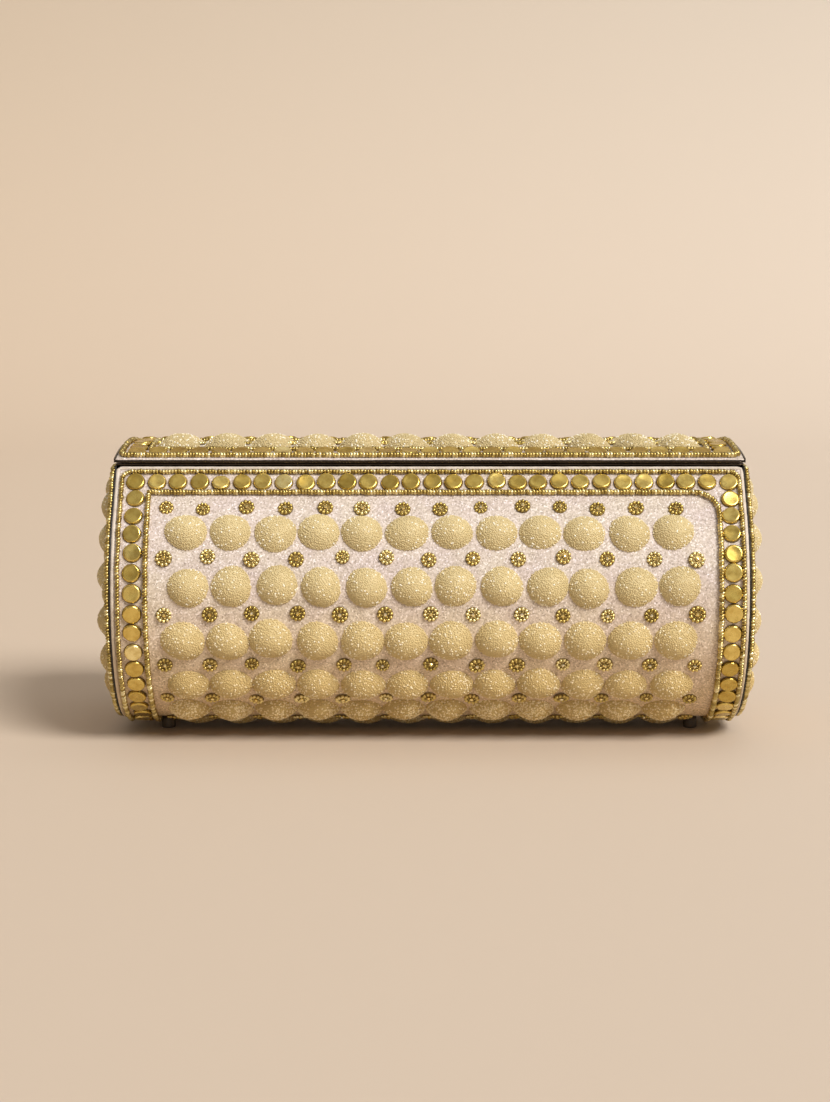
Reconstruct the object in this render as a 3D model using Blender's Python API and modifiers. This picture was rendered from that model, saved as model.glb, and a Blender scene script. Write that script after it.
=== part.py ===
"""Hard-shell barrel evening bag: a trough-shaped box with a crowned lid hinged along its back edge.

Metres, +Z up. X runs along the barrel and -Y is the front. The origin is on the table under the bag's centre.
"""

import math

import bmesh
import bpy
from mathutils import Matrix, Vector

MM = 0.001
GAP = 0.3 * MM

# The barrel's section, measured on the outer face of its fabric
BARREL_RADIUS = 45.5 * MM
BASE_HALF_FLAT = 5.0 * MM
FLANK_ANGLE = math.radians(40.0)
FLANK_LENGTH = 20.0 * MM
FOOT_HEIGHT = 4.2 * MM
AXIS_HEIGHT = FOOT_HEIGHT + BARREL_RADIUS
BODY_TOP = AXIS_HEIGHT + BARREL_RADIUS * math.sin(FLANK_ANGLE) + FLANK_LENGTH * math.cos(FLANK_ANGLE)
ARC_STEPS = 12

# Layers of the wall, as insets from the outer face of the fabric
COVER_THICKNESS = 1.1 * MM
SHELL_INSET = COVER_THICKNESS + GAP
SHELL_THICKNESS = 1.6 * MM
LINING_INSET = SHELL_INSET + SHELL_THICKNESS + GAP
LINING_THICKNESS = 0.8 * MM

# Ends
END_EDGE = 106.7 * MM
PANEL_THICKNESS = 0.8 * MM
PANEL_INNER = END_EDGE - PANEL_THICKNESS
SHELL_HALF_LENGTH = PANEL_INNER - GAP
END_COVER_THICKNESS = 0.6 * MM
END_COVER_INSET = 2.2 * MM
END_COVER_FACE = END_EDGE + GAP + END_COVER_THICKNESS

# Piping round the edge of the body's fabric
PIPING_RADIUS = 0.65 * MM
PIPING_PROUD = 0.2 * MM
PIPING_X = PANEL_INNER - GAP - PIPING_RADIUS
PIPING_CORNER = 0.4 * MM
COVER_HALF_LENGTH = PIPING_X - PIPING_RADIUS - GAP

# Metal frames that meet at the mouth
FRAME_THICKNESS = 0.55 * MM
FRAME_HALF_LENGTH = 106.6 * MM
FRAME_HALF_DEPTH = 27.6 * MM
FRAME_CORNER = 1.5 * MM
MOUTH_HALF_LENGTH = 101.5 * MM
MOUTH_HALF_DEPTH = 18.6 * MM
BODY_FRAME_BOTTOM = BODY_TOP + GAP
LID_FRAME_BOTTOM = BODY_FRAME_BOTTOM + FRAME_THICKNESS + GAP

# Hinge
HINGE_Y = FRAME_HALF_DEPTH + 1.65 * MM
HINGE_Z = LID_FRAME_BOTTOM - GAP / 2
PIN_RADIUS = 0.6 * MM
PIN_HEAD_RADIUS = 1.2 * MM
PIN_HEAD_LENGTH = 0.9 * MM
KNUCKLE_BORE = 0.9 * MM
KNUCKLE_RADIUS = 1.35 * MM
KNUCKLE_PITCH = 26.0 * MM
KNUCKLE_COUNT = 7
KNUCKLE_SIDES = 12
WEB_LAP = 0.5 * MM
WEB_BACK = HINGE_Y - 1.0 * MM
WEB_THICKNESS = 0.45 * MM

# Closure
MAGNET_LENGTH = 16.0 * MM
MAGNET_DEPTH = 2.0 * MM
MAGNET_HEIGHT = 3.0 * MM
MAGNET_X = 60.0 * MM
MAGNET_Y = -20.0 * MM

# Lid
LID_HALF_LENGTH = 106.0 * MM
LID_HALF_DEPTH = 27.0 * MM
LID_BOTTOM = LID_FRAME_BOTTOM + FRAME_THICKNESS + GAP
LID_EDGE_TOP = LID_BOTTOM + 0.5 * MM
LID_CROWN = 2.3 * MM
LID_STEPS = 10
LID_COVER_THICKNESS = 0.9 * MM
LID_BOARD_HALF_DEPTH = 21.0 * MM
LID_LINING_THICKNESS = 0.6 * MM

# Borders: how far in from the edge each line runs
BEAD_RADIUS = 0.85 * MM
OUTER_BEADS = 2.6 * MM
STUD_LINE = 6.7 * MM
INNER_BEADS = 11.0 * MM
END_BEADS = 1.0 * MM
CORNER_CUT = 1.5 * MM
STUD_RADIUS = 2.9 * MM
STUD_THICKNESS = 1.2 * MM

# Feet, between the last domes and the inner beads
FOOT_X = 91.7 * MM
FOOT_Y = 8.0 * MM
FOOT_RADIUS = 2.4 * MM
FOOT_SOLE_RADIUS = 2.0 * MM
FOOT_BEVEL = 0.5 * MM

# Beaded domes, each row on a strip of backing net
DOME_WIDTH = 14.0 * MM
DOME_DEPTH = 13.3 * MM
DOME_HEIGHT = 3.8 * MM
BASE_DOME_HEIGHT = 2.4 * MM
LID_FRONT_DOME_HEIGHT = 4.2 * MM
LID_BACK_DOME_HEIGHT = 3.1 * MM
DOME_SIDES = 6
DOME_PROFILE = ((1.0, 0.0), (0.78, 0.66), (0.34, 1.0))
NET_THICKNESS = 0.4 * MM
NET_MARGIN = 0.4 * MM
DOME_PITCH = 14.75 * MM
DOMES_IN_ROW = 12
DOME_ROW_PLACES = tuple(distance * MM for distance in (26.4, 44.9, 63.5, 82.0, 97.8, 119.0))
LID_ROW_Y = 7.2 * MM
LID_DOME_WIDTH = 15.0 * MM
LID_DOME_PITCH = 15.6 * MM
END_DOME_WIDTH = 12.4 * MM
END_RINGS = ((9.5 * MM, 18), (22.8 * MM, 12))
END_CLUSTER = ((-0.5, -1), (0.5, -1), (-1, 0), (0, 0), (1, 0), (-0.5, 1), (0.5, 1))
END_CLUSTER_PITCH = (13.3 * MM, 11.1 * MM)
END_CLUSTER_HEIGHT = AXIS_HEIGHT - 0.4 * MM

# How far a shape that cuts another stands past it, and the distance within which points are one
CUT_SPARE = 2.0 * MM
WELD = 0.001 * MM

# A curve drawn in its own XY plane and turned by this has its outline in Y and Z, and its extrusion along X
ACROSS = Matrix(((0, 0, 1), (1, 0, 0), (0, 1, 0))).to_4x4()

# Colour, roughness and metallic value
FINISHES = {
    "cover_fabric": ((0.80, 0.74, 0.71), 0.55, 0.0),
    "piping_satin": ((0.86, 0.82, 0.77), 0.40, 0.0),
    "dome_beads": ((0.80, 0.70, 0.45), 0.45, 0.0),
    "gold_beads": ((0.72, 0.52, 0.15), 0.25, 1.0),
    "gold_studs": ((0.76, 0.58, 0.22), 0.25, 1.0),
    "dark_metal": ((0.05, 0.04, 0.035), 0.30, 1.0),
    "black_board": ((0.03, 0.025, 0.02), 0.60, 0.0),
    "lining_satin": ((0.70, 0.58, 0.42), 0.45, 0.0),
    "magnet_nickel": ((0.60, 0.60, 0.62), 0.25, 1.0),
}


# ---------------------------------------------------------------- scene, materials and helpers


def start_scene():
    """An empty scene with a collection for the bag and one for the shapes that only cut or join."""
    for obj in list(bpy.data.objects):
        bpy.data.objects.remove(obj)
    for name in ("evening_bag", "helpers"):
        collection = bpy.data.collections.new(name)
        bpy.context.scene.collection.children.link(collection)


def material(name):
    found = bpy.data.materials.get(name)
    if found:
        return found
    colour, roughness, metallic = FINISHES[name]
    made = bpy.data.materials.new(name)
    made.use_nodes = True
    shader = made.node_tree.nodes["Principled BSDF"]
    shader.inputs["Base Color"].default_value = (*colour, 1.0)
    shader.inputs["Roughness"].default_value = roughness
    shader.inputs["Metallic"].default_value = metallic
    return made


def add(name, data, finish=None, helper=False):
    """A new object in its collection. A helper stays out of the render."""
    obj = bpy.data.objects.new(name, data)
    bpy.data.collections["helpers" if helper else "evening_bag"].objects.link(obj)
    if helper:
        obj.hide_render = True
        obj.display_type = "WIRE"
    elif finish and not data.materials:
        data.materials.append(material(finish))
    return obj


def mesh_of(maker):
    """A mesh filled by maker, which is given an empty bmesh."""
    bm = bmesh.new()
    maker(bm)
    data = bpy.data.meshes.new("mesh")
    bm.to_mesh(data)
    bm.free()
    return data


def as_mesh(obj):
    """The evaluated shape of a curve, or of a mesh with modifiers, welded, in the object's own frame."""
    bpy.context.view_layer.update()
    evaluated = obj.evaluated_get(bpy.context.evaluated_depsgraph_get())
    data = bpy.data.meshes.new_from_object(evaluated)
    bm = bmesh.new()
    bm.from_mesh(data)
    bmesh.ops.remove_doubles(bm, verts=bm.verts, dist=WELD)
    bmesh.ops.recalc_face_normals(bm, faces=bm.faces)
    bm.to_mesh(data)
    bm.free()
    return data


def boolean(obj, other, operation):
    modifier = obj.modifiers.new(operation.lower(), "BOOLEAN")
    modifier.operation = operation
    modifier.solver = "EXACT"
    modifier.object = other


def plate(name, loops, half_thickness, place, finish=None, helper=False):
    """A flat plate with the outline loops[0] and the holes loops[1:], drawn in its own XY plane."""
    curve = bpy.data.curves.new(name, "CURVE")
    curve.dimensions = "2D"
    curve.fill_mode = "BOTH"
    curve.extrude = half_thickness
    for loop in loops:
        spline = curve.splines.new("POLY")
        spline.points.add(len(loop) - 1)
        for point, (x, y) in zip(spline.points, loop):
            point.co = (x, y, 0.0, 1.0)
        spline.use_cyclic_u = True
    obj = add(name, curve, finish, helper)
    obj.matrix_world = place
    return obj


def mesh_plate(name, loops, half_thickness, place, finish=None, helper=False):
    """The same plate as a mesh, which can be cut and joined."""
    drawn = plate(name + "_outline", loops, half_thickness, place, helper=True)
    data = as_mesh(drawn)
    bpy.data.objects.remove(drawn)
    obj = add(name, data, finish, helper)
    obj.matrix_world = place
    return obj


def box(name, size, middle, finish=None, helper=False):
    data = mesh_of(lambda bm: bmesh.ops.create_cube(bm, size=1.0))
    data.transform(Matrix.Diagonal((*size, 1.0)))
    obj = add(name, data, finish, helper)
    obj.location = middle
    return obj


def bar(name, points, half_length, x=0.0, finish=None):
    """A bar along X whose section has the points (y, z)."""
    return plate(name, [points], half_length, Matrix.Translation((x, 0, 0)) @ ACROSS, finish)


def strand(name, points, radius, finish):
    """A closed loop of cord through points."""
    curve = bpy.data.curves.new(name, "CURVE")
    curve.dimensions = "3D"
    curve.bevel_depth = radius
    curve.bevel_resolution = 1
    spline = curve.splines.new("POLY")
    spline.points.add(len(points) - 1)
    for point, place in zip(spline.points, points):
        point.co = (*place, 1.0)
    spline.use_cyclic_u = True
    return add(name, curve, finish)


def turned(name, profile, steps, finish):
    """A solid turned about Z from (radius, height) points that run down its outer side."""

    def make(bm):
        verts = [bm.verts.new((radius, 0.0, height)) for radius, height in profile]
        for a, b in zip(verts, verts[1:]):
            bm.edges.new((a, b))

    obj = add(name, mesh_of(make), finish)
    screw = obj.modifiers.new("turn", "SCREW")
    screw.steps = steps
    screw.render_steps = steps
    screw.use_merge_vertices = True
    screw.merge_threshold = WELD
    return obj


# ---------------------------------------------------------------- the barrel's and the lid's sections


def flank_y(inset, z):
    """How far from the middle the straight flank at this inset is, at height z."""
    radius = BARREL_RADIUS - inset
    start_y = BASE_HALF_FLAT + radius * math.cos(FLANK_ANGLE)
    start_z = AXIS_HEIGHT + radius * math.sin(FLANK_ANGLE)
    return start_y - (z - start_z) * math.tan(FLANK_ANGLE)


def outline(inset, top=BODY_TOP):
    """(y, z) from the front of the mouth, round the base, to the back of the mouth."""
    radius = BARREL_RADIUS - inset
    half = [(flank_y(inset, top), top)]
    for step in range(ARC_STEPS + 1):
        angle = FLANK_ANGLE - (FLANK_ANGLE + math.pi / 2) * step / ARC_STEPS
        half.append((BASE_HALF_FLAT + radius * math.cos(angle), AXIS_HEIGHT + radius * math.sin(angle)))
    return [(-y, z) for y, z in half] + half[::-1]


def wall_section(outer, inner, top=BODY_TOP):
    """The closed section of a wall between two insets."""
    return outline(outer, top) + outline(inner, top)[::-1]


def wall_place(distance, side):
    """(y, z, angle) on the fabric at a distance down from the mouth. Angle is the outward normal's rise."""
    if distance <= FLANK_LENGTH:
        angle = FLANK_ANGLE
        y = flank_y(0.0, BODY_TOP) + distance * math.sin(FLANK_ANGLE)
        z = BODY_TOP - distance * math.cos(FLANK_ANGLE)
    else:
        angle = FLANK_ANGLE - (distance - FLANK_LENGTH) / BARREL_RADIUS
        y = BASE_HALF_FLAT + BARREL_RADIUS * math.cos(angle)
        z = AXIS_HEIGHT + BARREL_RADIUS * math.sin(angle)
    return side * y, z, angle


def lid_height(y, lift=0.0):
    """Height of the lid's fabric at y, or of a surface that far above it."""
    return LID_EDGE_TOP + LID_CROWN * (1 - (y / LID_HALF_DEPTH) ** 2) + lift


def lid_arc(from_y, to_y, lift, steps=LID_STEPS):
    """(y, z) along the lid's crown."""
    ys = [from_y + (to_y - from_y) * i / steps for i in range(steps + 1)]
    return [(y, lid_height(y, lift)) for y in ys]


def crowned(half_depth, drop, floor):
    """(y, z) of a bar with a flat underside at floor and the lid's crown, lowered by drop, on top."""
    return [(-half_depth, floor), (half_depth, floor)] + lid_arc(half_depth, -half_depth, -drop)


def rectangle(half_x, half_y, corner):
    """The outline of a rectangle with round corners."""
    points = []
    for quarter, (sx, sy) in enumerate(((1, 1), (-1, 1), (-1, -1), (1, -1))):
        for step in range(4):
            angle = (quarter + step / 3) * math.pi / 2
            x = sx * (half_x - corner) + corner * math.cos(angle)
            y = sy * (half_y - corner) + corner * math.sin(angle)
            points.append((x, y))
    return points


def circle(radius, y, z):
    turns = [2 * math.pi * i / KNUCKLE_SIDES for i in range(KNUCKLE_SIDES)]
    return [(y + radius * math.cos(turn), z + radius * math.sin(turn)) for turn in turns]


# ---------------------------------------------------------------- the body's walls


def build_walls():
    """The rigid trough, its two end panels and the fabric over the trough."""
    shell = wall_section(SHELL_INSET, SHELL_INSET + SHELL_THICKNESS)
    bar("body_shell", shell, SHELL_HALF_LENGTH, 0.0, "black_board")
    cover_top = BODY_TOP - (2 * PIPING_RADIUS + GAP) * math.cos(FLANK_ANGLE)
    cover_top -= COVER_THICKNESS * math.sin(FLANK_ANGLE)
    bar("body_cover", wall_section(0.0, COVER_THICKNESS, cover_top), COVER_HALF_LENGTH, 0.0, "cover_fabric")
    for side, name in ((-1, "left"), (1, "right")):
        middle = side * (PANEL_INNER + END_EDGE) / 2
        bar(f"{name}_end_panel", outline(0.0), PANEL_THICKNESS / 2, middle, "black_board")
        middle = side * (END_COVER_FACE - END_COVER_THICKNESS / 2)
        points = outline(END_COVER_INSET, BODY_TOP - END_COVER_INSET)
        bar(f"{name}_end_cover", points, END_COVER_THICKNESS / 2, middle, "cover_fabric")


def build_lining():
    """A satin tub that stands just inside the trough and the end panels."""
    tub = mesh_plate("body_lining", [outline(LINING_INSET)], SHELL_HALF_LENGTH, ACROSS, "lining_satin")
    inside = [outline(LINING_INSET + LINING_THICKNESS, BODY_TOP + CUT_SPARE)]
    half_length = SHELL_HALF_LENGTH - LINING_THICKNESS
    boolean(tub, mesh_plate("lining_hollow", inside, half_length, ACROSS, helper=True), "DIFFERENCE")


# ---------------------------------------------------------------- frames, hinge and closure


def build_frame(name, bottom, knuckles):
    """A flat ring round the mouth with its share of the hinge's knuckles on the back edge."""
    outer = rectangle(FRAME_HALF_LENGTH, FRAME_HALF_DEPTH, FRAME_CORNER)
    inner = rectangle(MOUTH_HALF_LENGTH, MOUTH_HALF_DEPTH, FRAME_CORNER)
    middle = bottom + FRAME_THICKNESS / 2
    place = Matrix.Translation((0, 0, middle))
    frame = mesh_plate(name, [outer, inner], FRAME_THICKNESS / 2, place, "dark_metal")
    front = FRAME_HALF_DEPTH - WEB_LAP
    for index in knuckles:
        x = (index - (KNUCKLE_COUNT - 1) / 2) * KNUCKLE_PITCH
        half_length = (KNUCKLE_PITCH - GAP) / 2
        ring = [circle(KNUCKLE_RADIUS, HINGE_Y, HINGE_Z), circle(KNUCKLE_BORE, HINGE_Y, HINGE_Z)]
        place = Matrix.Translation((x, 0, 0)) @ ACROSS
        boolean(frame, mesh_plate(f"{name}_knuckle_{index}", ring, half_length, place, helper=True), "UNION")
        size = (2 * half_length - GAP, WEB_BACK - front, WEB_THICKNESS)
        web = box(f"{name}_web_{index}", size, (x, (front + WEB_BACK) / 2, middle), helper=True)
        boolean(frame, web, "UNION")


def build_hinge_pin():
    """A rod through every knuckle, with a wider head at each end."""
    half = KNUCKLE_COUNT * KNUCKLE_PITCH / 2 + GAP
    end = half + PIN_HEAD_LENGTH
    profile = [
        (0.0, end),
        (PIN_HEAD_RADIUS, end),
        (PIN_HEAD_RADIUS, half),
        (PIN_RADIUS, half),
        (PIN_RADIUS, -half),
        (PIN_HEAD_RADIUS, -half),
        (PIN_HEAD_RADIUS, -end),
        (0.0, -end),
    ]
    pin = turned("hinge_pin", profile, 12, "dark_metal")
    pin.matrix_world = Matrix.Translation((0, HINGE_Y, HINGE_Z)) @ Matrix.Rotation(math.pi / 2, 4, "Y")


def build_magnets():
    """Two bar magnets under the front of the body frame. They hold the steel lid frame shut."""
    size = (MAGNET_LENGTH, MAGNET_DEPTH, MAGNET_HEIGHT)
    for side, name in ((-1, "left"), (1, "right")):
        middle = (side * MAGNET_X, MAGNET_Y, BODY_TOP - MAGNET_HEIGHT / 2)
        box(f"closure_magnet_{name}", size, middle, "magnet_nickel")


# ---------------------------------------------------------------- lid


def build_lid():
    """The crowned board, the fabric over it and round its edges, and the lining in the frame's opening."""
    board = crowned(LID_BOARD_HALF_DEPTH, LID_COVER_THICKNESS + GAP, LID_BOTTOM)
    bar("lid_board", board, LID_HALF_LENGTH - LID_COVER_THICKNESS - GAP, 0.0, "black_board")
    section = crowned(LID_HALF_DEPTH, 0.0, LID_BOTTOM)
    cover = mesh_plate("lid_cover", [section], LID_HALF_LENGTH, ACROSS, "cover_fabric")
    room = crowned(LID_BOARD_HALF_DEPTH + GAP, LID_COVER_THICKNESS, LID_BOTTOM - CUT_SPARE)
    half_length = LID_HALF_LENGTH - LID_COVER_THICKNESS
    boolean(cover, mesh_plate("lid_hollow", [room], half_length, ACROSS, helper=True), "DIFFERENCE")
    lining = rectangle(MOUTH_HALF_LENGTH - GAP, MOUTH_HALF_DEPTH - GAP, FRAME_CORNER)
    place = Matrix.Translation((0, 0, LID_BOTTOM - GAP - LID_LINING_THICKNESS / 2))
    plate("lid_lining", [lining], LID_LINING_THICKNESS / 2, place, "lining_satin")


# ---------------------------------------------------------------- feet


def base_height(y):
    """Height of the barrel's underside at y."""
    return AXIS_HEIGHT - math.sqrt(BARREL_RADIUS**2 - max(0.0, abs(y) - BASE_HALF_FLAT) ** 2)


def build_feet():
    """Four turned feet under the fabric. Each has a flat sole."""
    top = base_height(FOOT_Y - FOOT_RADIUS) - GAP
    profile = [
        (0.0, top),
        (FOOT_SOLE_RADIUS, top),
        (FOOT_RADIUS, top - FOOT_BEVEL),
        (FOOT_RADIUS, FOOT_BEVEL),
        (FOOT_SOLE_RADIUS, 0.0),
        (0.0, 0.0),
    ]
    for side_x, across in ((-1, "left"), (1, "right")):
        for side_y, along in ((-1, "front"), (1, "back")):
            foot = turned(f"foot_{along}_{across}", profile, 12, "dark_metal")
            foot.location = (side_x * FOOT_X, side_y * FOOT_Y, 0.0)


# ---------------------------------------------------------------- borders


def body_loop(distance, lift, x, corner=CORNER_CUT):
    """A closed path lifted off the body's fabric, at a distance from the mouth and at x from the middle."""
    path = []
    for direction in (1, -1):
        y, z, angle = wall_place(distance, -direction)
        y -= direction * lift * math.cos(angle)
        z += lift * math.sin(angle)
        path += [(-direction * (x - corner), y, z), (direction * (x - corner), y, z)]
        path += [(direction * x, *point) for point in outline(-lift, z - corner)[::direction]]
    return path


def lid_loop(line, lift):
    """A closed path on the lid's fabric, at a distance in from its edges."""
    depth = LID_HALF_DEPTH - line
    x = LID_HALF_LENGTH - line
    long_side = [(-x + CORNER_CUT, -depth), (x - CORNER_CUT, -depth)]
    short_side = [(x, y) for y, _ in lid_arc(-depth + CORNER_CUT, depth - CORNER_CUT, lift)]
    half = long_side + short_side
    return [(x, y, lid_height(y, lift)) for x, y in half + [(-x, -y) for x, y in half]]


def build_piping_and_beads():
    """Cord piping round the body's fabric, and strands of beads along each border."""
    path = body_loop(PIPING_RADIUS, PIPING_PROUD - PIPING_RADIUS, PIPING_X, PIPING_CORNER)
    strand("body_piping", path, PIPING_RADIUS, "piping_satin")
    lift = BEAD_RADIUS + GAP
    for name, line in (("outer", OUTER_BEADS), ("inner", INNER_BEADS)):
        strand(f"body_{name}_bead_strand", body_loop(line, lift, END_EDGE - line), BEAD_RADIUS, "gold_beads")
        strand(f"lid_{name}_bead_strand", lid_loop(line, lift), BEAD_RADIUS, "gold_beads")
    for side, name in ((-1, "left"), (1, "right")):
        points = outline(END_BEADS, BODY_TOP - END_BEADS)
        path = [(side * (END_EDGE + lift), y, z) for y, z in points]
        strand(f"{name}_end_bead_strand", path, BEAD_RADIUS, "gold_beads")


def build_stud_bands():
    """The lines of flat studs, each as one band of the studs' width and thickness."""
    low, high = GAP, GAP + STUD_THICKNESS
    column_x = END_EDGE - STUD_LINE
    lid_column_x = LID_HALF_LENGTH - STUD_LINE
    row_half_length = column_x - STUD_RADIUS - GAP
    lid_row_half_length = lid_column_x - STUD_RADIUS - GAP
    wide = LID_HALF_DEPTH - STUD_LINE + STUD_RADIUS
    narrow = LID_HALF_DEPTH - STUD_LINE - STUD_RADIUS
    for side, name in ((-1, "left"), (1, "right")):
        section = wall_section(-high, -low, wall_place(STUD_LINE - STUD_RADIUS, side)[1])
        bar(f"{name}_stud_band", section, STUD_RADIUS, side * column_x, "gold_studs")
        section = lid_arc(-wide, wide, low) + lid_arc(wide, -wide, high)
        bar(f"lid_{name}_stud_band", section, STUD_RADIUS, side * lid_column_x, "gold_studs")
    for side, name in ((-1, "front"), (1, "back")):
        y, z, angle = wall_place(STUD_LINE, side)
        along = Vector((side * math.sin(angle), -math.cos(angle))) * STUD_RADIUS
        out = Vector((side * math.cos(angle), math.sin(angle)))
        corners = ((-1, low), (1, low), (1, high), (-1, high))
        section = [tuple(Vector((y, z)) + along * share + out * lift) for share, lift in corners]
        bar(f"{name}_stud_band", section, row_half_length, 0.0, "gold_studs")
        section = lid_arc(narrow, wide, low, 2) + lid_arc(wide, narrow, high, 2)
        section = [(side * y, z) for y, z in section]
        bar(f"lid_{name}_stud_band", section, lid_row_half_length, 0.0, "gold_studs")


# ---------------------------------------------------------------- domes


def add_dome(bm, x, y, width, depth, height):
    """A low pillow that stands on Z 0."""
    rings = []
    for scale, lift in DOME_PROFILE:
        ring = []
        for i in range(DOME_SIDES):
            angle = 2 * math.pi * (i + 0.5) / DOME_SIDES
            out = (scale * width / 2 * math.cos(angle), scale * depth / 2 * math.sin(angle))
            ring.append(bm.verts.new((x + out[0], y + out[1], lift * height)))
        rings.append(ring)
    bm.faces.new(rings[0][::-1])
    bm.faces.new(rings[-1])
    for lower, upper in zip(rings, rings[1:]):
        for i in range(DOME_SIDES):
            j = (i + 1) % DOME_SIDES
            bm.faces.new((lower[i], lower[j], upper[j], upper[i]))


def merge_flat(data):
    """Joins the faces that lie in one plane, so that what is added to them cuts no needless edges."""
    bm = bmesh.new()
    bm.from_mesh(data)
    bmesh.ops.dissolve_limit(bm, angle_limit=0.001, verts=bm.verts, edges=bm.edges)
    bm.to_mesh(data)
    bm.free()


def joined_to_net(name, net, places, width, depth, height):
    """The mesh of a flat net, whose middle is at Z 0, with a dome on it at each place."""

    def domes(bm):
        for x, y in places:
            add_dome(bm, x, y, width, depth, height)

    merge_flat(net.data)
    boolean(net, add(name, mesh_of(domes), helper=True), "UNION")
    data = as_mesh(net)
    data.materials.clear()
    data.materials.append(material("dome_beads"))
    return data


def row_of_domes(pitch, width, height):
    """The mesh of a row of domes on its strip of net."""
    first = -pitch * (DOMES_IN_ROW - 1) / 2
    half_length = -first + width / 2 + NET_MARGIN
    half_depth = DOME_DEPTH / 2 + NET_MARGIN
    net = box("row_net", (2 * half_length, 2 * half_depth, NET_THICKNESS), (0, 0, 0), helper=True)
    places = [(first + i * pitch, 0.0) for i in range(DOMES_IN_ROW)]
    return joined_to_net("row_domes", net, places, width, DOME_DEPTH, height)


def build_dome_rows():
    """Rows of beaded domes along the front and the back of the barrel and on the lid."""
    wall_row = row_of_domes(DOME_PITCH, DOME_WIDTH, DOME_HEIGHT)
    base_row = row_of_domes(DOME_PITCH, DOME_WIDTH, BASE_DOME_HEIGHT)
    lift = GAP + NET_THICKNESS / 2
    for side, name in ((-1, "front"), (1, "back")):
        for row, distance in enumerate(DOME_ROW_PLACES, 1):
            y, z, angle = wall_place(distance, side)
            y += side * lift * math.cos(angle)
            z += lift * math.sin(angle)
            turn = Matrix.Rotation(-side * (math.pi / 2 - angle), 4, "X")
            data = base_row if row == len(DOME_ROW_PLACES) else wall_row
            made = add(f"{name}_dome_row_{row}", data)
            made.matrix_world = Matrix.Translation((0, y, z)) @ turn
    for side, name, height in ((-1, "front", LID_FRONT_DOME_HEIGHT), (1, "back", LID_BACK_DOME_HEIGHT)):
        made = add(f"lid_{name}_dome_row", row_of_domes(LID_DOME_PITCH, LID_DOME_WIDTH, height))
        made.location = (0, side * LID_ROW_Y, lid_height(0.0, lift))


def end_ring(inset, count):
    """count points (y, z) evenly spaced round an end's outline at an inset, from the middle of its base."""
    points = outline(inset, BODY_TOP - inset)
    back_half = points[len(points) // 2 :]
    front_half = points[: len(points) // 2]
    base = (0.0, back_half[0][1])
    path = [base] + back_half + front_half + [base]
    lengths = [0.0]
    for a, b in zip(path, path[1:]):
        lengths.append(lengths[-1] + math.dist(a, b))
    found = []
    for i in range(count):
        at = i * lengths[-1] / count
        k = max(j for j in range(len(path) - 1) if lengths[j] <= at)
        share = (at - lengths[k]) / (lengths[k + 1] - lengths[k])
        found.append(tuple(a + (b - a) * share for a, b in zip(path[k], path[k + 1])))
    return found


def build_end_domes():
    """The domes on each end: two rings that follow its outline, and a cluster inside them."""
    across, up = END_CLUSTER_PITCH
    places = [(y * across, END_CLUSTER_HEIGHT + z * up) for y, z in END_CLUSTER]
    for inset, count in END_RINGS:
        places += end_ring(inset, count)
    rim = END_COVER_INSET + NET_MARGIN
    loops = [outline(rim, BODY_TOP - rim)]
    net = mesh_plate("end_net", loops, NET_THICKNESS / 2, Matrix.Identity(4), helper=True)
    data = joined_to_net("end_domes", net, places, END_DOME_WIDTH, END_DOME_WIDTH, DOME_HEIGHT)
    x = END_COVER_FACE + GAP + NET_THICKNESS / 2
    for angle, name in ((0.0, "right"), (math.pi, "left")):
        made = add(f"{name}_end_domes", data)
        made.matrix_world = Matrix.Rotation(angle, 4, "Z") @ Matrix.Translation((x, 0, 0)) @ ACROSS


def main():
    start_scene()
    build_walls()
    build_lining()
    build_frame("body_frame", BODY_FRAME_BOTTOM, range(0, KNUCKLE_COUNT, 2))
    build_frame("lid_frame", LID_FRAME_BOTTOM, range(1, KNUCKLE_COUNT, 2))
    build_hinge_pin()
    build_magnets()
    build_lid()
    build_feet()
    build_piping_and_beads()
    build_stud_bands()
    build_dome_rows()
    build_end_domes()


main()
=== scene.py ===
"""The looks of the barrel evening bag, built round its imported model. Metres, +Z up, -Y is the front."""

import math
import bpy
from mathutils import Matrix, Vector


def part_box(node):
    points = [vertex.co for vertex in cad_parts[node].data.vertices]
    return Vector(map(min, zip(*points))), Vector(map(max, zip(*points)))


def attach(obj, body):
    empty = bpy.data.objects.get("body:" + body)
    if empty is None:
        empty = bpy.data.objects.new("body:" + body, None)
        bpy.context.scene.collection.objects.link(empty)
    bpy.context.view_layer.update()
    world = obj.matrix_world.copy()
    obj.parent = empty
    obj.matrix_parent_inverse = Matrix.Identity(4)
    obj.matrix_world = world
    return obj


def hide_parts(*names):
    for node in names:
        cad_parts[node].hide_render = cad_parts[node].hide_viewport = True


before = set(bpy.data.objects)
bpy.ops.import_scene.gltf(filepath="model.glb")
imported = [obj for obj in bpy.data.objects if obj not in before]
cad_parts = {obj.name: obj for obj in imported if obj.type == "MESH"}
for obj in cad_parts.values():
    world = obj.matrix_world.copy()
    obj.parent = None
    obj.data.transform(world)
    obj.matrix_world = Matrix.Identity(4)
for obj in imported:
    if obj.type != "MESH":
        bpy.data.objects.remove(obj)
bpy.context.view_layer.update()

import bmesh
import bpy
import numpy as np
from mathutils import Matrix, Vector

MM = 0.001
RNG = np.random.default_rng(41)
FULL_TURN = 6.28
WHITE = (1.0, 1.0, 1.0)
Z_TO_X = np.array(((0, 1, 0), (0, 0, 1), (1, 0, 0)))
# Between these heights the painted shade towards the base fades out.
BASE_SHADE_HEIGHTS = (8 * MM, 62 * MM)
COLOUR_A, COLOUR_B, MIXED_COLOUR = 6, 7, 2  # the colour sockets of a Mix node
MATERIALS = {}

# -------- sizes, read from the frame or repeated from the part

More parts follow.
